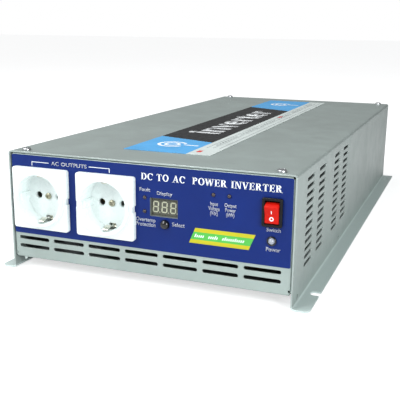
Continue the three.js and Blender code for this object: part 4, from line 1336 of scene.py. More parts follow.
def copies(name, pattern, places, facing, finish, spin=2 * math.pi, seed=3):
    """Copies of a pattern piece, drawn facing up at the origin, on points in metres."""
    obj = run_tree(mesh_object(name, places, [], []), COPIES, {
        "Piece": pattern, "Tilt": FACING[facing], "Spin": spin, "Seed": seed, "Finish": finish})
    drop(pattern)
    return smooth(obj)


print("geometry tree:", COPIES.name)

# %% A pan-head screw with a cross recess
def upright(obj):
    """Stands a piece that was turned about y on its end, so that its front faces up."""
    obj.data.transform(Matrix.Rotation(-QUARTER, 4, "X"))
    return obj


def pan_head(radius, height, shank):
    """Drawn with its seat at z = 0. The recess is a cross of two slightly rounded slots."""
    crown = height * 0.35
    profile = [(0, -height), (radius * 0.45, -height + 0.03), (radius * 0.8, -height + crown * 0.5),
               (radius * 0.95, -height + crown * 1.2), (radius, -0.25), (radius * 0.97, 0),
               (shank, 0), (shank, 2.0), (0, 2.0)]
    head = turned("screw head", profile, NO_PLACE, None, 40)
    depth = height * 0.7
    for wide, tall in ((radius * 1.15, radius * 0.24), (radius * 0.24, radius * 1.15)):
        slot = prism("slot", rounded_box(0, 0, wide, tall, radius * 0.1), -height - 1, -height + depth,
                     NO_PLACE, None)
        carve(head, slot)
    return upright(head)


screw_places = []
for low, high in map(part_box, SCREW_NODES):
    screw_places.append(((low.x + high.x) / 2, (low.y + high.y) / 2, COVER_HIGH.z + 0.15 * MM))
cover_screws = copies("cover_screws", pan_head(3.6, 2.2, 1.5), screw_places, "up", FINISH["zinc"])
show(cover_screws, "zinc_steel", *SCREW_NODES)

# %% [markdown]
# ## The outlets
# Each outlet is one white moulding: a square plate with soft corners, a raised round rim, and a
# deep round well with a rib on each side and a groove above and below for the earth clips. Its
# shape changes from square to round, so it is a stack of rings that all share the same angles:
# the outer rings follow a rounded square and the inner ones are circles. The ribs, grooves and
# pin holes are joined or cut afterwards.

# %% Rings from square to round
def shared_angles(half, corner, even=80, extra=6):
    """Even angles round a circle, with more of them where a rounded square has its corners."""
    angles = {2 * math.pi * i / even for i in range(even)}
    for quarter in range(4):
        for step in range(extra + 1):
            bend = QUARTER * step / extra
            x = half - corner + corner * math.cos(bend)
            z = half - corner + corner * math.sin(bend)
            angles.add((math.atan2(z, x) + QUARTER * quarter) % (2 * math.pi))
    kept = []
    for angle in sorted(angles):
        if not kept or angle - kept[-1] > 0.004:
            kept.append(angle)
    return kept


def on_square(angle, half, corner):
    """Where a ray at an angle meets a rounded square."""
    c, s = abs(math.cos(angle)), abs(math.sin(angle))
    reach_out = half / max(c, s)
    inner = half - corner
    if reach_out * min(c, s) > inner:
        along = inner * (c + s)
        reach_out = along + math.sqrt(max(0.0, along * along - 2 * inner * inner + corner * corner))
    return reach_out * math.cos(angle), reach_out * math.sin(angle)


def ring_stack(name, stack, angles, origin, material):
    """Rings of (shape, size, y), where shape is square, circle or point, as one closed skin."""
    points, rows = [], []
    for shape, size, y in stack:
        start = len(points)
        if shape == "point":
            points.append((0, y, 0))
            rows.append([start] * len(angles))
            continue
        for angle in angles:
            if shape == "square":
                x, z = on_square(angle, size, PLATE["corner"])
            else:
                x, z = size * math.cos(angle), size * math.sin(angle)
            points.append((x, y, z))
        rows.append(list(range(start, len(points))))
    faces = []
    for low, high in zip(rows, rows[1:]):
        for i in range(len(angles)):
            after = (i + 1) % len(angles)
            face = list(dict.fromkeys([low[i], low[after], high[after], high[i]]))
            if len(face) > 2:
                faces.append(face)
    return clean(piece(name, points, faces, origin, material))


PLATE = {"half": 25.0, "corner": 2.0, "front": -3.8, "back": 0.5, "rim_front": -7.4}
WELL = {"radius": 19.8, "rim": 22.4, "cup": 21.9, "floor": 9.6, "back": 12.0}
PIN = {"apart": 19.0, "radius": 2.7}
GROOVE = {"half": 3.0, "low": 16.2, "high": 21.4}


def socket_stack():
    half, front, back, rim_front = (PLATE[key] for key in ("half", "front", "back", "rim_front"))
    plate = [("point", 0, WELL["back"]), ("circle", WELL["cup"] - 0.8, WELL["back"]),
             ("circle", WELL["cup"], WELL["back"] - 0.8), ("circle", WELL["cup"], back),
             ("square", half, back), ("square", half, front + 0.9),
             ("square", half - 0.12, front + 0.45), ("square", half - 0.42, front + 0.12),
             ("square", half - 0.9, front)]
    rim = [("circle", WELL["rim"] + 0.5, front), ("circle", WELL["rim"] + 0.12, front - 0.15),
           ("circle", WELL["rim"], front - 0.5), ("circle", WELL["rim"], rim_front + 0.8),
           ("circle", WELL["rim"] - 0.25, rim_front + 0.25), ("circle", WELL["rim"] - 0.8, rim_front)]
    well = [("circle", WELL["radius"] + 0.9, rim_front),
            ("circle", WELL["radius"] + 0.3, rim_front + 0.25),
            ("circle", WELL["radius"], rim_front + 0.9), ("circle", WELL["radius"], WELL["floor"] - 0.8),
            ("circle", WELL["radius"] - 0.25, WELL["floor"] - 0.2),
            ("circle", WELL["radius"] - 0.9, WELL["floor"]), ("point", 0, WELL["floor"])]
    return plate + rim + well


# %% Cut and join one outlet
def make_socket(side):
    node = f"{side}_socket_cover"
    origin = middle(node)
    angles = shared_angles(PLATE["half"], PLATE["corner"])
    socket = ring_stack(f"{side}_outlet", socket_stack(), angles, origin, FINISH["white"])
    for x in (-1, 1):
        rib = prism("rib", rounded_box(x * (WELL["radius"] - 0.9), 0, 4.0, 6.0, 0.6),
                    PLATE["front"] + 0.4, WELL["floor"] + 0.6, origin, None)
        carve(socket, rib, operation="UNION")
    for z in (-1, 1):
        middle_z = z * (GROOVE["low"] + GROOVE["high"]) / 2
        groove = prism("groove", rounded_box(0, middle_z, 2 * GROOVE["half"],
                                             GROOVE["high"] - GROOVE["low"], 0.4),
                       PLATE["front"] - 1, WELL["back"] + 1, origin, None)
        carve(socket, groove)
    for x in (-1, 1):
        hole = prism("pin hole", circle(x * PIN["apart"] / 2, 0, PIN["radius"], 36),
                     WELL["floor"] - 1, WELL["back"] + 1, origin, None)
        notch = prism("notch", rounded_box(x * PLATE["half"], 0, 1.8, 5.0, 0.4),
                      PLATE["front"] - 1, 2.0, origin, None)
        mouth = turned("mouth", [(0, WELL["floor"] - 0.2), (PIN["radius"] + 1.0, WELL["floor"] - 0.2),
                                 (PIN["radius"] - 0.1, WELL["floor"] + 0.9), (0, WELL["floor"] + 0.9)],
                       origin + Vector((x * PIN["apart"] / 2, 0, 0)) * MM, None, 36)
        carve(socket, hole, notch, mouth)
    carve(socket, prism("screw hole", circle(0, 0, 1.9, 24), WELL["floor"] - 1, WELL["back"] + 1,
                        origin, None))
    show(smooth(one_finish(socket, FINISH["white"]), 28), "socket_white", node)


for side in ("left", "right"):
    make_socket(side)

# %% [markdown]
# The earth clips are the two ends of one springy strip that passes behind the well. Each arm
# comes forward through its groove, humps towards the middle where it rubs on the plug, and ends
# in a small outward curl. It is a ribbon along a smooth path, so its route is drawn as a few
# points that a Catmull-Rom curve rounds off.

# %% Clips, contacts and screws of the outlets
def rounded_path(points, steps=6):
    """A Catmull-Rom curve through (a, b) points, with its ends doubled."""
    padded = [points[0], *points, points[-1]]
    path = []
    for p0, p1, p2, p3 in zip(padded, padded[1:], padded[2:], padded[3:]):
        for step in range(steps):
            t = step / steps
            path.append(tuple(
                0.5 * (2 * b + (c - a) * t + (2 * a - 5 * b + 4 * c - d) * t * t
                       + (3 * b - a - 3 * c + d) * t ** 3) for a, b, c, d in zip(p0, p1, p2, p3)))
    return path + [points[-1]]


CLIP = {"width": 4.6, "gauge": 0.7}


def make_clip(side):
    origin = middle(f"{side}_socket_cover")
    arm = rounded_path([(-2.6, 18.9), (-1.8, 18.0), (3, 16.8), (7.4, 17.8), (10.2, 19.8), (12.2, 20.3)])
    path = arm + [(12.7, 19.8)] + [(12.7, -19.8)] + [(y, -z) for y, z in reversed(arm)]
    half = CLIP["width"] / 2
    points = [(x, y, z) for y, z in path for x in (-half, -half * 0.6, half * 0.6, half)]
    faces = [(4 * i + j, 4 * i + j + 1, 4 * i + j + 5, 4 * i + j + 4)
             for i in range(len(path) - 1) for j in range(3)]
    clip = piece(f"{side}_earth_clips", points, faces, origin, FINISH["nickel"])
    show(smooth(thicken(clip, CLIP["gauge"], even=True)), "nickel_strap", f"{side}_earth_strap")


for side in ("left", "right"):
    make_clip(side)

sleeve = upright(turned("sleeve", [(3.3, -10), (3.3, 0), (2.45, 0), (2.45, -9.4), (2.7, -10)],
                        NO_PLACE, None, 28, ring=True))
sleeve_places = [middle(f"{side}_socket_cover") + Vector((x * PIN["apart"] / 2, 28, 0)) * MM
                 for side in ("left", "right") for x in (-1, 1)]
contacts = copies("pin_contacts", sleeve, [tuple(place) for place in sleeve_places], "front",
                  FINISH["brass"], spin=0.0)
show(contacts, "brass_stud")

socket_screw_places = [tuple(middle(f"{side}_socket_cover") + Vector((0, 9.3, 0)) * MM)
                       for side in ("left", "right")]
socket_screws = copies("outlet_screws", pan_head(2.7, 1.5, 1.5), socket_screw_places, "front",
                       FINISH["screw"], seed=8)
show(socket_screws, "zinc_steel", "left_socket_screw", "right_socket_screw")

# %% [markdown]
# ## The rocker switch
# A black bezel stands round a deep pocket, in which a red paddle tips about a pin. At rest its
# lower half is pressed in, which is off. The paddle is an outline seen from the side, made as
# wide as the pocket allows, with its edges rounded. The marks for on and off are thin white
# mesh on its face and ride on the same body.

# %% Bezel and pocket
ROCKER = {"pivot": 4.2, "tilt": 12.0, "width": 10.2}
switch_origin = middle("rocker_housing")
bezel = prism("switch_bezel", rounded_box(0, 0, 15, 21, 1.4), -1.8, 0.5, switch_origin, FINISH["black"])
round_edges(bezel, 0.5)
switch_body = prism("switch body", rounded_box(0, 0, 12.8, 18.6, 0.6), 0.2, 16, switch_origin, None)
carve(bezel, switch_body, operation="UNION")
carve(bezel, prism("pocket", rounded_box(0, 0, 11.0, 17.2, 0.5), -3, 11, switch_origin, None))
for z in (-5, 3):
    carve(bezel, prism("blade", rounded_box(0, z, 4.8, 0.8, 0.2), 15.8, 24, switch_origin, None),
          operation="UNION")
show(smooth(bezel), "switch_black", "rocker_housing")

# %% Paddle and its marks
paddle_origin = switch_origin + Vector((0, ROCKER["pivot"], 0)) * MM
TILT = (Matrix.Translation(paddle_origin) @ Matrix.Rotation(math.radians(ROCKER["tilt"]), 4, "X")
        @ Matrix.Translation(-paddle_origin))


def face_depth(z):
    """The paddle's front face about its pin: a shallow valley whose two ends stand forward."""
    return -6.8 - 0.8 * min(1.0, (abs(z) / 6) ** 1.2)


def paddle_outline():
    front = [(face_depth(z), z) for z in (6.4, 4.8, 3.2, 1.6, 0.5, 0, -0.5, -1.6, -3.2, -4.8, -6.4)]
    back = [(-2, -7.8), (3, -4), (3, 4), (-2, 7.8)]
    return front + back


def make_paddle():
    half = ROCKER["width"] / 2
    outline = paddle_outline()
    count = len(outline)
    points = [(x, y, z) for x in (-half, half) for y, z in outline]
    sides = [(i, (i + 1) % count, count + (i + 1) % count, count + i) for i in range(count)]
    ends = [tuple(range(count)), tuple(range(count, 2 * count))]
    paddle = clean(piece("rocker_paddle", points, sides + ends, paddle_origin, FINISH["red"]))
    round_edges(paddle, 0.45, angle=30)
    paddle.data.transform(TILT)
    show(paddle, "rocker_red", "rocker_button", body="rocker")


def make_marks():
    line = strip_mesh([(-0.3, 0.3, 1.0, 3.6)])
    ring = ring_mark(0, -2.9, 1.6, 0.85, 0, 360, 32)
    for mesh in (line, ring):
        for vertex in mesh.vertices:
            local = (vertex.co - CASE_ORIGIN) / MM
            flat_z = local.z if mesh is line else local.y
            flat_x = local.x - PRINT["aside"] if mesh is line else local.x
            place = Vector((flat_x, face_depth(flat_z) - 0.05, flat_z)) * MM
            vertex.co = TILT @ (paddle_origin + place)
    return [line, ring]


make_paddle()
marks = printed("rocker_marks", make_marks(), INK["white"], "rocker_red")
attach(marks, "rocker")

# %% [markdown]
# ## Lamps, readout and select button
# The power lamp is a pale dome in a black ring. Four small dark lamps sit flush in the film.
# The readout is a dark face behind its window with three figures of seven bars, which show as
# pale even when unlit. The select button is a glossy black dome that slides in its hole.

# %% Lamps
LENS = {
    "pale": finish_of("pale lens", (150, 156, 168), 0.16, drift=0.04, cloud=0.003, grain=0.0008,
                      bump=0.05, edge=(240, 244, 250), clear=0.7),
    "dark": finish_of("dark lens", (44, 30, 30), 0.18, drift=0.1, cloud=0.002, grain=0.0006,
                      bump=0.05, edge=(150, 130, 130), clear=0.6),
}
lamp = middle("power_led_ring")
ring_section = [(2.65, 5), (2.65, -0.55), (2.8, -0.8), (3.15, -0.8), (3.45, -0.6), (3.6, -0.2),
                (3.6, 0.5), (3.05, 0.5), (3.05, 5)]
show(turned("power_lamp_ring", ring_section, lamp, FINISH["gloss_black"], 48, ring=True),
     "led_ring_black", "power_led_ring")


def dome(tip, shoulder, radius, steps=9):
    """Half a section of a dome: an arc from its tip on the axis to its shoulder."""
    return [(radius * math.sin(QUARTER * i / steps), shoulder + (tip - shoulder)
             * math.cos(QUARTER * i / steps)) for i in range(steps)] + [(radius, shoulder)]


show(turned("power_lamp_dome", dome(-2.6, 0.0, 2.45) + [(2.45, 6.6), (0, 6.6)], lamp, LENS["pale"], 40),
     "power_lens_clear", "power_led_lens")
for led in LEDS:
    section = dome(-0.6, 0.9, 1.5, 7) + [(1.5, 4.6), (1.9, 4.6), (1.9, 5.6), (0, 5.6)]
    show(turned(f"{led}_lens", section, middle(led), LENS["dark"], 32), "indicator_lens", led)

# %% Select button and its switch
button = middle("select_button")
cap = dome(-2.8, -0.6, 3.4, 10)
collar = [(3.4, 2.5), (4.4, 2.5), (4.4, 3.6), (0, 3.6)]
show(turned("select_cap", cap + collar, button, FINISH["gloss_black"], 48), "select_black",
     "select_button", body="select")
dress(FINISH["switch"], "select_switch")

# %% Readout face and figures
READOUT = {
    "face": finish_of("readout face", (66, 68, 58), 0.3, drift=0.05, cloud=0.006, grain=0.0004,
                      bump=0.06, clear=0.4),
    "bars": finish_of("unlit bars", (176, 180, 156), 0.35, drift=0.05, cloud=0.002, grain=0.0004,
                      bump=0.06),
    # The shell's grey, lighter than the face, is partly the readout's own case and partly a painted
    # highlight for the lit inner wall of the panel's opening.
    "shell": finish_of("readout shell", (92, 96, 90), 0.4, grain=0.0005, bump=0.1),
}
screen = middle("display_module")
FACE_Y = reach("display_module")[0]
body_back = reach("display_module")[1]
readout = prism("readout_face", rounded_box(0, 0, 21.6, 13.0, 0.3), FACE_Y, body_back, screen,
                READOUT["face"])
show(round_edges(readout, 0.15), "display_face", "display_module")
shell_outline = rounded_box(0, 0, 22.4, 13.8, 0.4)
shell = prism("readout_shell", shell_outline, FACE_Y - 1.3, body_back - 0.2, screen, READOUT["shell"])
window = prism("window", rounded_box(0, 0, 21.7, 13.1, 0.3), FACE_Y - 3, body_back + 1, screen, None)
carve(shell, window)
show(smooth(shell), "display_face")

BAR_LENGTH, BAR_WIDTH, FIGURE_LEAN = 3.9, 0.95, 0.06


def figure_bar(a, b, upright_bar):
    """One pointed bar of a figure, about (a, b)."""
    end, side = BAR_LENGTH / 2 - 0.12, BAR_WIDTH / 2
    shape = [(-end, 0), (-end + side, side), (end - side, side), (end, 0), (end - side, -side),
             (-end + side, -side)]
    if upright_bar:
        shape = [(-y, x) for x, y in shape]
    return [(a + x + FIGURE_LEAN * (b + y), b + y) for x, y in shape]


def figure_mesh():
    """Seven bars and a point, lying face up about the origin."""
    bars = [figure_bar(0, b, False) for b in (-BAR_LENGTH, 0, BAR_LENGTH)]
    bars += [figure_bar(a, b, True) for a in (-BAR_LENGTH / 2, BAR_LENGTH / 2)
             for b in (-BAR_LENGTH / 2, BAR_LENGTH / 2)]
    bars.append(circle(3.1, -BAR_LENGTH - 0.1, 0.42, 10))
    points, faces = [], []
    for outline in bars:
        faces.append(list(range(len(points), len(points) + len(outline))))
        points += [(x, y, 0) for x, y in outline]
    return thicken(piece("figure", points, faces, NO_PLACE), 0.03)


figure_places = [tuple(screen + Vector((x, FACE_Y - 0.03, 0)) * MM) for x in (-7.4, -0.3, 6.8)]
figures = copies("readout_figures", figure_mesh(), figure_places, "front", READOUT["bars"], spin=0.0)
show(figures, "display_face")

# %% [markdown]
# ## The fans
# Two axial fans sit behind the rear panel. A rotor blade could be lofted through several
# airfoil sections, but a thin curved sheet that twists from its root to its tip reads the same
# behind a guard. One Geometry Nodes tree sets the blades round the hub at even angles, with
# their roots sunk in it.

# %% Geometry Nodes: copies round an axis
def points_at_centre(tree, source):
    """As many points as Count says, all of them at Centre."""
    return add(tree, "GeometryNodeMeshLine", {
        "Count": source["Count"], "Start Location": source["Centre"], "Offset": (0.0, 0.0, 0.0)},
        mode="OFFSET")


def make_round_tree():
    """Copies about the y axis through Centre, at even angles."""
    tree, source, sink = group_tree(
        "copies round an axis", "GeometryNodeTree",
        [("Piece", GEOMETRY, None), ("Centre", VECTOR, (0.0, 0.0, 0.0)), ("Count", WHOLE, 7),
         ("Finish", MATERIAL, None)],
        [("Copies", GEOMETRY)])
    back = add(tree, "ShaderNodeVectorMath", {0: source["Centre"], "Scale": -1.0}, operation="SCALE")
    local = add(tree, "GeometryNodeTransform",
                {"Geometry": source["Piece"], "Translation": back.outputs[0]})
    points = points_at_centre(tree, source)
    index = add(tree, "GeometryNodeInputIndex")
    share = add(tree, "ShaderNodeMath", {0: index.outputs[0], 1: source["Count"]}, operation="DIVIDE")
    angle = add(tree, "ShaderNodeMath", {0: share.outputs[0], 1: 2 * math.pi}, operation="MULTIPLY")
    about_y = add(tree, "ShaderNodeCombineXYZ", {"Y": angle.outputs[0]})
    placed = add(tree, "GeometryNodeInstanceOnPoints", {
        "Points": points.outputs[0], "Instance": local.outputs[0], "Rotation": about_y.outputs[0]})
    return end_in_finish(tree, placed.outputs[0], source, sink)


ROUND = make_round_tree()


def round_copies(obj, centre, count, finish):
    run_tree(obj, ROUND, {"Centre": tuple(centre), "Count": count, "Finish": finish})
    return smooth(obj)


print("geometry tree:", ROUND.name)

# %% Frame of a fan
FAN = {"bore": 38.0, "bolts": FAN_BOLT, "hub": 18.5, "tip": 36.3, "blades": 7}
STRUT_ANGLES = (45, 135, 225, 315)


def spoke(name, angle, start, end, width, y0, y1, origin):
    """A flat bar from one radius to another at an angle."""
    c, s = math.cos(math.radians(angle)), math.sin(math.radians(angle))
    half = width / 2
    outline = [(start * c + half * s, start * s - half * c), (end * c + half * s, end * s - half * c),
               (end * c - half * s, end * s + half * c), (start * c - half * s, start * s + half * c)]
    return prism(name, outline, y0, y1, origin, None)


def make_fan_frame(side):
    node = f"{side}_fan_frame"
    origin = middle(node)
    y0, y1 = reach(node)
    body = prism(f"{side}_fan_frame_moulding", rounded_box(0, 0, 80, 80, 4), y0, y1, origin,
                 FINISH["black"])
    carve(body, prism("bore", circle(0, 0, FAN["bore"], 96), y0 - 1, y1 + 1, origin, None))
    waist = [(-40.5, -24), (-40.5, 24), (-37.5, 21), (-37.5, -21)]
    for side_sign in (1, -1):
        outline = [(x * side_sign, z * side_sign) for x, z in waist]
        carve(body, prism("waist", outline, y0 + 4, y1 - 4, origin, None))
    carve(body, prism("boss", circle(0, 0, 16, 48), y0, y0 + 4, origin, None), operation="UNION")
    for angle in STRUT_ANGLES:
        bar = spoke("strut", angle, 12, FAN["bore"] + 1.5, 4.0, y0, y0 + 3, origin)
        carve(body, bar, operation="UNION")
    for x in (-1, 1):
        for z in (-1, 1):
            carve(body, prism("bolt hole", circle(x * FAN["bolts"], z * FAN["bolts"], 2.2, 20),
                              y0 - 1, y1 + 1, origin, None))
    round_edges(body, 0.35, segments=2)
    show(body, "fan_black", node)


for side in ("left", "right"):
    make_fan_frame(side)

# %% Rotor: hub and twisted blades
def blade_mesh(name, origin, depth):
    """A curved sheet from the hub to the tip, that turns flatter as it goes out."""
    across, out = 7, 8
    points = []
    for row in range(out + 1):
        share = row / out
        radius = FAN["hub"] - 0.8 + (FAN["tip"] - FAN["hub"] + 0.8) * share
        pitch = math.radians(56 - 14 * share)
        chord = 14.5 + 3.0 * share
        for column in range(across + 1):
            t = column / across - 0.5
            camber = 1.5 * (1 - 4 * t * t)
            round_way = t * chord * math.cos(pitch) + camber * math.sin(pitch)
            deep = t * chord * math.sin(pitch) - camber * math.cos(pitch)
            angle = round_way / radius + 0.10 * share
            points.append((radius * math.cos(angle), depth + deep, radius * math.sin(angle)))
    wide = across + 1
    faces = [(r * wide + c, r * wide + c + 1, (r + 1) * wide + c + 1, (r + 1) * wide + c)
             for r in range(out) for c in range(across)]
    blade = piece(name, points, faces, origin)
    return thicken(blade, 1.4)


def make_rotor(side):
    node = f"{side}_fan_rotor"
    origin = middle(node)
    y0 = reach(f"{side}_fan_frame")[0] + 5
    y1 = y0 + 18.5
    blades = blade_mesh(f"{side}_rotor_blades", origin, (y0 + y1) / 2)
    round_copies(blades, origin, FAN["blades"], FINISH["rotor"])
    show(blades, "fan_rotor_black", body=f"{side}_rotor")
    hub = [(0, y0), (FAN["hub"] - 1.5, y0), (FAN["hub"], y0 + 1.5), (FAN["hub"], y1 - 1.2),
           (FAN["hub"] - 0.4, y1 - 0.4), (FAN["hub"] - 1.4, y1), (9.2, y1), (8.8, y1 - 0.3),
           (0, y1 - 0.3)]
    show(turned(f"{side}_rotor_hub", hub, origin, FINISH["rotor"], 72), "fan_rotor_black", node,
         body=f"{side}_rotor")
    spindle = [(0, y0 - 4.5), (1.8, y0 - 4.5), (2.0, y0 - 4.2), (2.0, y0 + 0.5), (0, y0 + 0.5)]
    show(turned(f"{side}_spindle", spindle, origin, FINISH["nickel"], 24), "fan_rotor_black",
         body=f"{side}_rotor")


for side in ("left", "right"):
    make_rotor(side)

# %% [markdown]
# ## Wire guards
# A guard is three rings of round wire welded to crossed spokes, with an eye at each end for the
# screw. A round wire could be a bevelled curve, but here it is swept by a Geometry Nodes tree:
# a circle curve for each ring, whose radius comes from its number, given a small round
# profile. The spokes are flat bars with soft edges, pressed a little behind the rings.

# %% Geometry Nodes: rings of wire
def make_ring_tree():
    tree, source, sink = group_tree(
        "rings of wire", "GeometryNodeTree",
        [("Spokes", GEOMETRY, None), ("Centre", VECTOR, (0.0, 0.0, 0.0)), ("Count", WHOLE, 3),
         ("Pitch", FLOAT, 0.012), ("Wire", FLOAT, 0.0008), ("Finish", MATERIAL, None)],
        [("Guard", GEOMETRY)])
    points = points_at_centre(tree, source)
    loop = add(tree, "GeometryNodeCurvePrimitiveCircle", {"Resolution": 72, "Radius": 1.0},
               mode="RADIUS")
    index = add(tree, "GeometryNodeInputIndex")
    number = add(tree, "ShaderNodeMath", {0: index.outputs[0], 1: 1.0}, operation="ADD")
    radius = add(tree, "ShaderNodeMath", {0: number.outputs[0], 1: source["Pitch"]},
                 operation="MULTIPLY")
    size = add(tree, "ShaderNodeCombineXYZ", {"X": radius.outputs[0], "Y": radius.outputs[0],
                                              "Z": 1.0})
    placed = add(tree, "GeometryNodeInstanceOnPoints", {
        "Points": points.outputs[0], "Instance": loop.outputs["Curve"],
        "Rotation": (QUARTER, 0.0, 0.0), "Scale": size.outputs[0]})
    real = add(tree, "GeometryNodeRealizeInstances", {"Geometry": placed.outputs[0]})
    profile = add(tree, "GeometryNodeCurvePrimitiveCircle", {"Resolution": 10,
                                                             "Radius": source["Wire"]}, mode="RADIUS")
    wire = add(tree, "GeometryNodeCurveToMesh", {"Curve": real.outputs[0],
                                                 "Profile Curve": profile.outputs["Curve"]})
    together = add(tree, "GeometryNodeJoinGeometry")
    tree.links.new(wire.outputs[0], together.inputs[0])
    tree.links.new(source["Spokes"], together.inputs[0])
    return end_in_finish(tree, together.outputs[0], source, sink)


RINGS = make_ring_tree()
GUARD = {"pitch": 12.0, "wire": 0.75, "eye": 4.2}


def make_guard(side):
    node = f"{side}_fan_guard"
    origin = middle(node)
    y0, y1 = reach(node)
    half = (y1 - y0) / 2
    guard = piece(f"{side}_wire_guard", [], [], origin)
    bars = []
    eye_radius = math.hypot(FAN["bolts"], FAN["bolts"])
    for angle in STRUT_ANGLES:
        inner_end = 0.5 if angle < 180 else -0.5
        bar = spoke("wire spoke", angle, inner_end, eye_radius - 2.8, 1.5, y0 + 0.03, y1 - 0.03, origin)
        bars.append(round_edges(bar, 0.4, segments=2))
    for x in (-1, 1):
        for z in (-1, 1):
            eye = turned("eye", [(2.3, y0 + 0.2), (2.6, y0), (3.9, y0), (GUARD["eye"], y0 + 0.4),
                                 (GUARD["eye"], y1 - 0.4), (3.9, y1), (2.6, y1), (2.3, y1 - 0.2)],
                         origin + Vector((x * FAN["bolts"], 0, z * FAN["bolts"])) * MM, None, 28,
                         ring=True)
            bars.append(eye)
    join_into(guard, bars)
    middle_y = (y0 + y1) / 2
    run_tree(guard, RINGS, {"Centre": tuple(origin + Vector((0, middle_y, 0)) * MM), "Count": 3,
                            "Pitch": GUARD["pitch"] * MM, "Wire": min(half, GUARD["wire"]) * MM,
                            "Finish": FINISH["zinc"]})
    show(smooth(guard, 40), "guard_wire", node)


def join_into(target, parts):
    """Copies the meshes of parts into a target piece and drops them."""
    work = bmesh.new()
    work.from_mesh(target.data)
    for part in parts:
        work.from_mesh(part.data)
    work.to_mesh(target.data)
    work.free()
    drop(*parts)
    return target


for side in ("left", "right"):
    make_guard(side)

# %% Fan screws
fan_screw_places = []
for side in ("left", "right"):
    seat = reach(f"{side}_fan_guard")[1] + 0.02
    fan_screw_places += [
        tuple(middle(f"{side}_fan_guard") + Vector((x * FAN["bolts"], seat, z * FAN["bolts"])) * MM)
        for x in (-1, 1) for z in (-1, 1)]
fan_screws = copies("fan_screws", pan_head(3.4, 2.0, 2.0), fan_screw_places, "back", FINISH["zinc"],
                    seed=11)
show(fan_screws, "zinc_steel")

# %% [markdown]
# ## Battery terminals and earth stud
# Each battery terminal is a coloured block on the rear panel that carries a threaded brass stud
# and a flange nut. The thread could be a spiral, but at this size rows of low ridges look the
# same: one Geometry Nodes tree repeats a single ridge along the stud.

# %% Geometry Nodes: ridges of a thread
def make_thread_tree():
    tree, source, sink = group_tree(
        "ridges along a stud", "GeometryNodeTree",
        [("Ridge", GEOMETRY, None), ("Count", WHOLE, 20), ("Pitch", FLOAT, 0.00125),
         ("Finish", MATERIAL, None)],
        [("Thread", GEOMETRY)])
    points = add(tree, "GeometryNodeMeshLine", {"Count": source["Count"],
                                                "Start Location": (0.0, 0.0, 0.0),
                                                "Offset": (0.0, 0.0, 0.0)}, mode="OFFSET")
    index = add(tree, "GeometryNodeInputIndex")
    along = add(tree, "ShaderNodeMath", {0: index.outputs[0], 1: source["Pitch"]},
                operation="MULTIPLY")
    step = add(tree, "ShaderNodeCombineXYZ", {"Y": along.outputs[0]})
    spread = add(tree, "GeometryNodeSetPosition", {"Geometry": points.outputs[0],
                                                   "Offset": step.outputs[0]})
    placed = add(tree, "GeometryNodeInstanceOnPoints", {
        "Points": spread.outputs[0], "Instance": source["Ridge"]})
    real = add(tree, "GeometryNodeRealizeInstances", {"Geometry": placed.outputs[0]})
    joined = add(tree, "GeometryNodeMergeByDistance", {"Geometry": real.outputs[0],
                                                       "Distance": 0.000005})
    return end_in_finish(tree, joined.outputs[0], source, sink)


THREAD = make_thread_tree()


def threaded(name, radius, pitch, y0, y1, origin, finish):
    """A ridged stud from y0 to y1: each ridge is a short turned ring without end caps."""
    sides, depth = 32, pitch * 0.45
    profile = [(radius - depth, 0), (radius, pitch * 0.42), (radius, pitch * 0.58),
               (radius - depth, pitch)]
    points = [(r * math.cos(2 * math.pi * i / sides), y0 + y, r * math.sin(2 * math.pi * i / sides))
              for r, y in profile for i in range(sides)]
    faces = [(row * sides + i, (row + 1) * sides + i, (row + 1) * sides + (i + 1) % sides,
              row * sides + (i + 1) % sides) for row in range(3) for i in range(sides)]
    stud = piece(name, points, faces, origin)
    count = int((y1 - y0) / pitch)
    run_tree(stud, THREAD, {"Count": count, "Pitch": pitch * MM, "Finish": finish})
    core = turned("core", [(0, y0 - 0.3), (radius - depth + 0.02, y0 - 0.3),
                           (radius - depth + 0.02, y0 + count * pitch),
                           (radius - depth - 0.5, y1), (0, y1)], origin, finish, sides)
    join_into(stud, [core])
    return smooth(stud, 40)


print("geometry tree:", THREAD.name)

# %% Nuts
def flange_nut(name, corner, flange, bore, y0, y1, origin, finish):
    """A hexagon with the end away from its flange turned to a cone, on a round flange."""
    angles = [math.radians(60 * i + 30) for i in range(6)]
    hexagon = [(corner * math.cos(angle), corner * math.sin(angle)) for angle in angles]
    nut = prism(name, hexagon, y0 + 0.4, y1, origin, finish)
    thick = 1.6
    taper = turned("taper", [(bore * 0.5, y0), (corner + 1, y0), (corner + 1, y1 - 1.1),
                             (corner * 0.87, y1 + 0.05), (bore * 0.5, y1 + 0.05)], origin, None, 64,
                   ring=True)
    carve(nut, taper, operation="INTERSECT")
    base = turned("flange", [(bore, y0), (flange, y0), (flange, y0 + 0.7), (corner * 0.86, y0 + thick),
                             (bore, y0 + thick)], origin, None, 64, ring=True)
    carve(nut, base, operation="UNION")
    carve(nut, prism("bore", circle(0, 0, bore, 32), y0 - 1, y1 + 1, origin, None))
    return smooth(one_finish(nut, finish), 25)


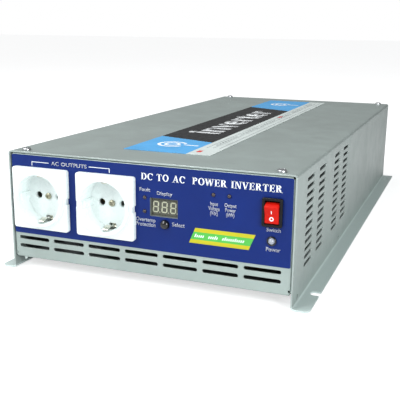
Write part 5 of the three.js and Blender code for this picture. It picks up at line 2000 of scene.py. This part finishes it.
# %% Blocks, studs and nuts
def make_terminal(side):
    block_node, stud_node, nut_node = (f"{side}_terminal_{part}" for part in ("block", "stud", "nut"))
    origin = middle(stud_node)
    block_low, block_high = reach(block_node)
    cap = FINISH["red_cap"] if side == "positive" else FINISH["black"]
    face = block_low + 5.3
    block = prism(f"{side}_block_moulding", rounded_box(0, 0, 25, 32, 5), face, block_high, origin, cap)
    round_edges(block, 1.0)
    carve(block, prism("sleeve", circle(0, 0, 7.2, 48), block_low, face + 0.5, origin, None),
          operation="UNION")
    recess = prism("recess", circle(0, 0, 11.0, 64), block_high - 0.6, block_high + 1, origin, None)
    carve(block, recess)
    carve(block, prism("bore", circle(0, 0, 4.3, 40), block_low - 1, block_high + 1, origin, None))
    slot = "terminal_red" if side == "positive" else "terminal_black"
    show(smooth(one_finish(block, cap), 28), slot, block_node)
    stud_low, stud_high = reach(stud_node)
    pad_low, pad_high = block_high + 0.3, block_high + 2.3
    show(threaded(f"{side}_stud_thread", 4.0, 1.25, pad_high - 0.3, stud_high, origin,
                  FINISH["brass"]), "brass_stud")
    shank = [(0, stud_low), (3.6, stud_low), (4.0, stud_low + 0.4), (4.0, pad_low), (9.4, pad_low),
             (10.0, pad_low + 0.5), (10.0, pad_high - 0.5), (9.4, pad_high), (3.2, pad_high),
             (3.2, pad_high + 0.1), (0, pad_high + 0.1)]
    show(turned(f"{side}_stud_body", shank, origin, FINISH["brass"], 56), "brass_stud", stud_node)
    nut_low, nut_high = reach(nut_node)
    nut = flange_nut(f"{side}_flange_nut", 7.5, 8.4, 4.05, nut_low, nut_high, origin, FINISH["zinc"])
    show(nut, "zinc_steel", nut_node)


for side in ("positive", "negative"):
    make_terminal(side)

# %% Earth stud
def make_earth():
    origin = middle("ground_stud")
    low, high = reach("ground_stud")
    seat = low + 7.3
    body = [(0, low), (5.2, low), (5.8, low + 0.6), (5.8, low + 4), (3, low + 4), (3, low + 5.8),
            (7, low + 5.8), (7, seat - 0.3), (6.7, seat), (2.5, seat), (2.5, seat + 0.1), (0, seat + 0.1)]
    show(turned("earth_stud_body", body, origin, FINISH["brass"], 48), "brass_stud", "ground_stud")
    show(threaded("earth_stud_thread", 3.0, 1.0, seat - 0.2, high, origin, FINISH["brass"]),
         "brass_stud")
    nut_low, nut_high = reach("ground_nut")
    show(flange_nut("earth_flange_nut", 5.6, 6.4, 3.05, nut_low, nut_high, origin, FINISH["zinc"]),
         "zinc_steel", "ground_nut")


print("earth stud, mm:", tuple(round(value, 1) for value in reach("ground_stud")))
make_earth()

# %% [markdown]
# ## Inside the case
# The parts inside are seen only through the slots and the fan guards, so they keep the shape
# they were packed with. Each still gets its own finish, because a glint of copper or the edge
# of a fin shows behind the slots when the light is low.

# %% Finishes of the parts inside
dress(FINISH["tray"], "chassis_base")
dress(FINISH["board"], "main_board", "control_board", "display_board")
dress(FINISH["copper"], "output_choke", "front_transformer_winding", "rear_transformer_winding",
      "positive_busbar", "negative_busbar")
dress(FINISH["ferrite"], "front_transformer_core", "rear_transformer_core")
for side in ("left", "right"):
    dress(FINISH["aluminium"], f"{side}_heatsink")
    dress(FINISH["chip"], f"{side}_transistor_bank")
    dress(FINISH["sleeve"], f"{side}_bus_capacitor")
    dress(FINISH["grey"], f"{side}_socket_base")

# %% Board screws
BOARD_HOLES = {"x": 104.0, "rows": (78.0, 270.0, 462.0), "top": 21.6}
seat = BOARD_HOLES["top"] + 0.02
board_screw_places = [tuple(CASE_ORIGIN + Vector((x * BOARD_HOLES["x"], row, seat)) * MM)
                      for x in (-1, 1) for row in BOARD_HOLES["rows"]]
board_screws = copies("board_screws", pan_head(3.0, 1.8, 1.4), board_screw_places, "up",
                      FINISH["zinc"], seed=5)
show(board_screws, "zinc_steel")
